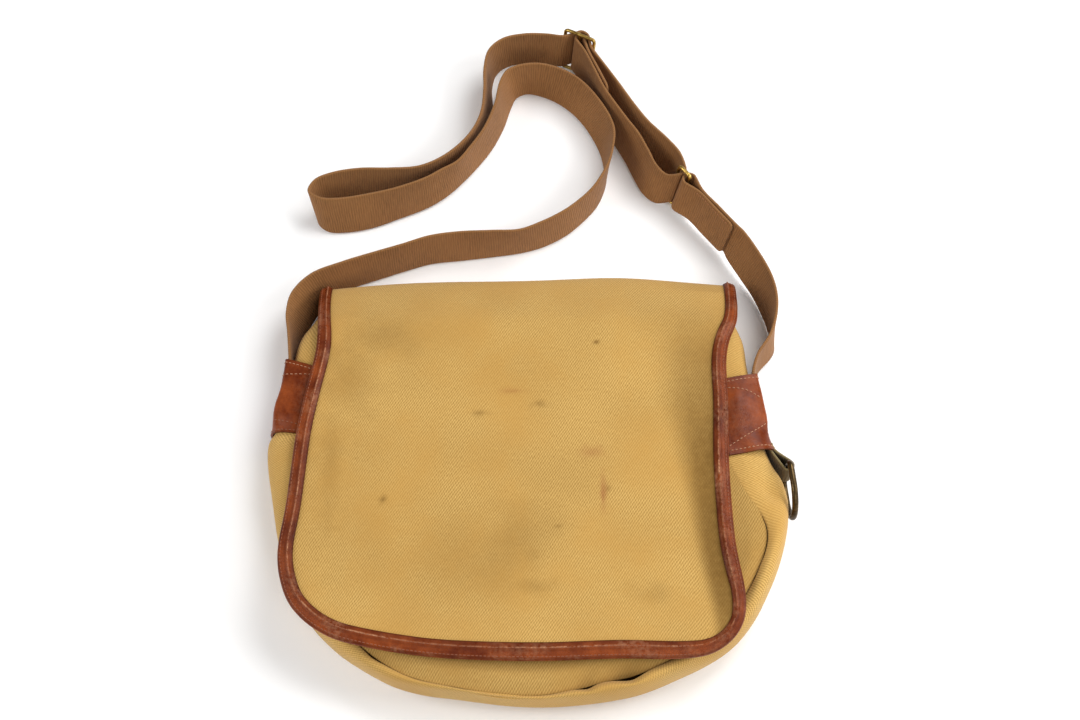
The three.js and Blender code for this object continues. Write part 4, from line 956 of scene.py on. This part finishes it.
longRun = [  # foot x, y and lean x, y, from the left tab to the slider
    (-192, 131, -4, 0), (-186, 150, -13, 1), (-179, 165, -17, 6), (-169, 180, -12, 7),
    (-151, 192, -5, 5), (-128, 201, -2, 5), (-106, 209, 0, 5), (-84, 216, 0, 6), (-60, 219, 0, 7),
    (-31, 223, -1, 4), (-7, 227, -1, 1), (12, 233, -3, 2), (31, 244, -4, 1), (46, 258, -5, -2),
    (59, 275, -4, -4), (66, 297, 1, -4), (65, 318, 7, -6), (59, 337, 14, -3), (45, 362, 15, 1),
    (28, 379, 11, 8), (9, 389, 4, 9), (-4, 391, -3, 6), (-13, 386, -7, 5), (-18, 374, -8, 5),
    (-24, 354, -6, 3), (-34, 332, -5, -1), (-46, 314, -5, -3), (-58, 299, -4, -3), (-71, 285, -4, 3),
    (-87, 273, -1, 7), (-113, 261, 0, 9), (-138, 251, -1, 13), (-160, 247, -3, 13), (-174, 248, -4, 13),
    (-182, 256, -6, 12), (-180, 268, -3, 10), (-169, 276, 1, 9), (-147, 281, 2, 8), (-121, 283, 2, 6),
    (-96, 288, 2, 3), (-72, 300, -2, 1), (-54, 316, -4, 0), (-43, 332, -5, -1), (-36, 350, -6, -2),
    (-34, 374, -6, -3), (-35, 396, -5, -2), (-31, 412, -5, 1), (-21, 421, -3, 4), (-4, 425, 0, 5),
    (13, 424, 2, 6),
]
outerRun = [  # from the slider to the loop
    (61, 393, 4, 6), (72, 372, 6, 6), (84, 350, 7, 6), (96, 332, 7, 6), (111, 315, 7, 6),
    (122, 300, 7, 6),
]
returnRun = [  # and back from the loop
    (110, 277, 8, 6), (100, 285, 9, 8), (92, 301, 10, 9), (85, 318, 9, 9), (77, 334, 7, 8),
]
shortRun = [  # from the loop to the right tab, with the foot's height
    (169, 219, 11, 6, 5), (179, 201, 12, 6, 4), (189, 184, 11, 4, 2.2), (196, 167, 8, 3, 1.3),
    (201, 150, 2, 1, 1.3), (203, 131, -6, 0, 1.3), (188, 111, -3, 0, 1.6),
]
metal = {"bar": 1.6, "corner": 3.0, "edgeClear": 1.0, "sides": 18}
slider = {"x": 41, "y": 416, "alongX": 0.9, "alongY": -0.436, "leanX": 3.05, "leanY": 6.3, "pitch": 14}
sliderTail = {**slider, "alongX": 0.389, "alongY": -0.921}
loop = {"x": 124, "y": 275, "alongX": 0.62, "alongY": -0.785, "leanX": 7.07, "leanY": 5.58, "pitch": 13.5}
sliderWeave = [(-14, -4.6), (-7, 2), (-1.5, 7.2), (4.5, 6.4), (9.5, 0.6), (14, -5)]
sewn = {"long": 58, "pitch": 3.2, "sliderTurn": 3.6, "loopTurn": 5.35, "corner": 5,
        "row": 2.6, "first": 5, "last": 46}  # stitches: in from the upper edge, and from where to where
sewnThread = {"pitch": 3.2, "long": 2.2, "thick": 0.7}
hardwareWidth = strapLook["width"] + 2 * (metal["edgeClear"] + metal["bar"])


def inHardware(piece, along, across):  # a strap row inside a slider or loop
    lift = strapLook["floor"] + metal["bar"] * 2 + metal["edgeClear"]
    share = lift / strapLook["width"]
    return (piece["x"] + piece["alongX"] * along - piece["alongY"] * across + piece["leanX"] * share,
            piece["y"] + piece["alongY"] * along + piece["alongX"] * across + piece["leanY"] * share,
            piece["leanX"], piece["leanY"], lift)


def roundBar(piece, along, radius, start, end, count=8):
    angles = np.radians(np.linspace(start, end, count + 1))
    return [inHardware(piece, along + radius * math.cos(a), radius * math.sin(a)) for a in angles]


def sewnEnd(piece, along, turn):
    shares = (0.25, 0.6, 1)
    layer = lambda share, across: inHardware(piece, along + sewn["long"] * share, across)
    return ([layer(share, -sewn["pitch"] / 2) for share in reversed(shares)]
            + roundBar(piece, along, turn, -84, -276)
            + [layer(share, sewn["pitch"] / 2) for share in shares])


def underTab(first, last):
    s = gussetSection(np.linspace(first, last, 5))
    points = s["side"] + s["outward"] * (tabLook["clear"] + strapLook["thick"] / 2)
    return [(x, y, 0, 0, strapLook["lift"]) for x, y in points[:, :2]]


def onFloor(rows):
    return [(*row, strapLook["floor"]) for row in rows]


def strapEdges(rows, width):
    table = np.array(rows, float)
    low, lean = table[:, [0, 1, 4]], table[:, 2:4]
    high = low + np.column_stack([lean, np.sqrt(width**2 - (lean**2).sum(1))])
    return low, high


def makeStrap(name, rows, solid, width, thick, material, rounded=0):
    low, high = strapEdges(rows, width)
    last = len(rows) - 1
    ends = np.linspace(0, 0.3, 14)  # closer rows, where the ends are rounded
    even = np.linspace(0, last, last * strapLook["perRow"] + 1)
    places = np.unique(np.concatenate([even, ends, last - ends]))
    low, high = curveThrough(low, places, True), curveThrough(high, places, True)
    run = lengthAlong((low + high) / 2)
    if rounded:  # cut ends with their corners rounded off
        far = np.clip(rounded - np.minimum(run, run[-1] - run), 0, rounded * 0.995)
        inset = ((high - low) / width) * (rounded - np.sqrt(rounded**2 - far**2))[:, None]
        low, high = low + inset, high - inset
    face = lambda edge: unit(np.cross(np.gradient(edge, axis=0), high - low))
    lowFace, highFace = face(low), face(high)
    across = np.concatenate([[-0.5, -0.485, -0.46], np.linspace(-0.42, 0.42, 9), [0.46, 0.485, 0.5]])
    half = thick / 2 * np.array([0.45, 0.85, 1.0] + [0.94] * 9 + [1.0, 0.85, 0.45])  # a firm, round selvedge
    loopAcross = np.concatenate([across, across[::-1]])
    loopHalf = np.concatenate([half, -half[::-1]])
    share = loopAcross[None, :, None] + 0.5
    spine = low[:, None] * (1 - share) + high[:, None] * share
    normal = unit(lowFace[:, None] * (1 - share) + highFace[:, None] * share)
    sections = spine + normal * loopHalf[None, :, None]
    around = loopAcross * width
    around = np.append(around, around[0])
    addRibbon(name, sections, run, around, material, solid, sharp=50)
    return low, high, run


def makeStraps():
    left, right = tabs["left"], tabs["right"]
    longRows = (underTab(left["last"] - tabLook["lap"], left["first"]) + onFloor(longRun)
                + [inHardware(slider, *place) for place in sliderWeave] + onFloor(outerRun)
                + roundBar(loop, -loop["pitch"] / 2, sewn["loopTurn"], 52, -28) + onFloor(returnRun)
                + sewnEnd(sliderTail, 0, sewn["sliderTurn"]))
    shortRows = (sewnEnd(loop, loop["pitch"] / 2, sewn["loopTurn"]) + shortRun
                 + underTab(right["last"], right["first"] + tabLook["lap"]))
    runs = []
    for name, rows, solid, tail in (("webbing_long", longRows, "strap_long", True),
                                    ("webbing_short", shortRows, "strap_short", False)):
        low, high, run = makeStrap(name, rows, solid, strapLook["width"], strapLook["thick"], strapWeb,
                                   sewn["corner"])
        back = run[-1] - run if tail else run
        part = (back > sewn["first"]) & (back < sewn["last"])
        line = high - (high - low) / strapLook["width"] * sewn["row"]
        face = unit(np.cross(np.gradient(line, axis=0), high - low))
        face = face * np.sign(-face[:, 1:2])  # the side that shows
        runs.append((line[part] + face[part] * strapLook["thick"] / 2, face[part], sewnThread))
    addStitches("strap_stitches", runs, strapThread)


# Brass and bronze wire

def wireSections(points, ahead, radius):  # round a wire that is bent in its own x and y
    angles = np.linspace(0, 2 * math.pi, metal["sides"], endpoint=False)
    across = np.stack([ahead[:, 1], -ahead[:, 0], 0 * ahead[:, 0]], -1)
    rings = (points[:, None] + across[:, None] * (radius * np.cos(angles))[None, :, None]
             + np.array([0, 0, 1.0]) * (radius * np.sin(angles))[None, :, None])
    return rings, angles


def wireRing(name, points, radius, material, solid, place, body="bag"):
    ahead = unit(np.roll(points, -1, 0) - np.roll(points, 1, 0))
    rings, angles = wireSections(points, ahead, radius)
    mesh, faces, places = sweepArrays(rings, lengthAlong(points), angles * radius, closed=True)
    turn, move = place
    placed = mesh @ turn.T + move
    addPiece(name, placed, faces, places.reshape(-1, 2), material, solid, body, sharp=80)


def roundedBox(halfX, halfY, corner):
    points = []
    for x, y, start in ((1, 1, 0), (-1, 1, 90), (-1, -1, 180), (1, -1, 270)):
        for a in np.radians(np.linspace(start, start + 90, 8)):
            points.append((x * (halfX - corner) + corner * math.cos(a),
                           y * (halfY - corner) + corner * math.sin(a), 0))
    return np.array(points)


def standing(piece):  # local x along the strap, local y up its width
    along = unit(np.array([piece["alongX"], piece["alongY"], 0.0]))
    rise = math.sqrt(strapLook["width"] ** 2 - piece["leanX"] ** 2 - piece["leanY"] ** 2)
    up = unit(np.array([piece["leanX"], piece["leanY"], rise]))
    turn = np.stack([along, up, np.cross(along, up)], 1)
    foot = hardwareWidth / 2 + metal["bar"] + strapLook["floor"]
    return turn, np.array([piece["x"], piece["y"], 0.0]) + up * foot


def makeHardware():
    half, wire = hardwareWidth / 2, metal["bar"]
    frameLine = roundedBox(slider["pitch"], half, metal["corner"])
    wireRing("slider_frame", frameLine, wire, tarnishedBrass, "strap_slider", standing(slider))
    up = np.tile((0, 1.0, 0), (24, 1))
    bar = np.linspace(-half, half, len(up))
    rings, angles = wireSections(up * bar[:, None], up, wire)
    turn, move = standing(slider)
    addRibbon("slider_bar", rings @ turn.T + move, bar, angles, tarnishedBrass, sharp=80)
    loopLine = roundedBox(loop["pitch"] / 2, half, metal["corner"])
    wireRing("loop_frame", loopLine, wire, tarnishedBrass, "strap_loop", standing(loop))


ringLook = {"x": 204, "y": 15, "z": 26, "heading": -85, "wire": 2.5, "height": 41, "depth": 38, "corner": 6,
            "keeperWidth": 24, "keeperTape": 1.8, "slack": 0.6, "rootAt": (16.84, 17.0), "rootOut": 2.4}


def makeRing():
    half, corner = ringLook["height"] / 2, ringLook["corner"]
    arc = lambda x, y, r, start, end, n: [(x + r * math.cos(a), y + r * math.sin(a), 0)
                                          for a in np.radians(np.linspace(start, end, n))]
    points = np.array(arc(corner, half - corner, corner, 180, 90, 8)
                      + arc(ringLook["depth"] - half, 0, half, 90, -90, 40)
                      + arc(corner, corner - half, corner, 270, 180, 8))
    way = math.radians(ringLook["heading"])
    along, up = np.array([math.cos(way), math.sin(way), 0]), np.array([0, 0, 1.0])
    turn = np.stack([along, up, np.cross(along, up)], 1)
    wireRing("net_ring_wire", points, ringLook["wire"], brownedBronze, "net_ring",
             (turn, np.array([ringLook["x"], ringLook["y"], ringLook["z"]])), "ring")


def makeKeeper():
    radius = ringLook["wire"] + ringLook["slack"] + ringLook["keeperTape"] / 2
    lift = ringLook["z"] - ringLook["keeperWidth"] / 2
    spread = ringLook["keeperTape"] / 2 + 0.4
    row = lambda x, y: (x, y, 0, 0, lift)
    turn = [row(ringLook["x"] + radius * math.cos(a), ringLook["y"] + radius * math.sin(a))
            for a in np.radians(np.linspace(46, -152, 9))]
    root = gussetSection(np.array(ringLook["rootAt"]))  # sewn in between the gusset and the tab's lower edge

    def leg(out):
        points = root["side"] + root["outward"] * (ringLook["rootOut"] + out)
        return [row(x, y) for x, y in points[:, :2]]

    rows = leg(spread)[::-1] + turn + leg(-spread)
    makeStrap("keeper_tape", rows, "ring_keeper", ringLook["keeperWidth"], ringLook["keeperTape"], shadedKeeperWeb)


# Floor and light

studio = {"floor": "#FFFFFF", "world": 0.22, "aim": (0, 0.1, 0), "lamps": [  # watts, size and place in metres
    ("keyLight", 21.5, 1.0, (0.8, 1.0, 1.6)), ("rightLight", 17, 0.9, (1.4, 0.1, 1.0)),
    ("frontLight", 9.5, 1.0, (0.6, -1.3, 1.1)), ("leftLight", 13, 0.9, (-1.3, -0.2, 1.0)),
]}


def makeStudio():
    mesh = bpy.data.meshes.new("studio_floor")
    mesh.from_pydata([(-8, -8, 0), (8, -8, 0), (8, 8, 0), (-8, 8, 0)], [], [(0, 1, 2, 3)])
    floor = bpy.data.objects.new("studio_floor", mesh)
    bpy.context.scene.collection.objects.link(floor)
    # Uncoated white paper: no gloss, and soft shadows fade into it
    paper = newMaterial("white paper sweep", Base_Color=srgb(studio["floor"]), Roughness=0.9)[0]
    mesh.materials.append(paper)
    floor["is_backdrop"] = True
    world = bpy.data.worlds.new("softStudio")
    world.use_nodes = True
    sky = world.node_tree.nodes["Background"].inputs
    sky["Color"].default_value = (1, 1, 1, 1)
    sky["Strength"].default_value = studio["world"]
    bpy.context.scene.world = world
    for name, power, size, place in studio["lamps"]:
        light = bpy.data.lights.new(name, "AREA")
        light.energy, light.size = power, size
        lamp = bpy.data.objects.new(name, light)
        lamp.location = place
        lamp.rotation_euler = (Vector(studio["aim"]) - Vector(place)).to_track_quat("-Z", "Y").to_euler()
        bpy.context.scene.collection.objects.link(lamp)
    bpy.context.scene.view_settings.view_transform = "Standard"


makeGusset()
makeBackPanel()
makeFrontPanel()
flapGrid = makeFlap()
makeBinding(flapGrid)
makeTab("left")
makeTab("right")
makeStraps()
makeHardware()
makeKeeper()
makeRing()
makeStudio()
print("bag dressed")

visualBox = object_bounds()
sizes = {"cad": [list(corner) for corner in cadBox], "visual": [list(corner) for corner in visualBox]}
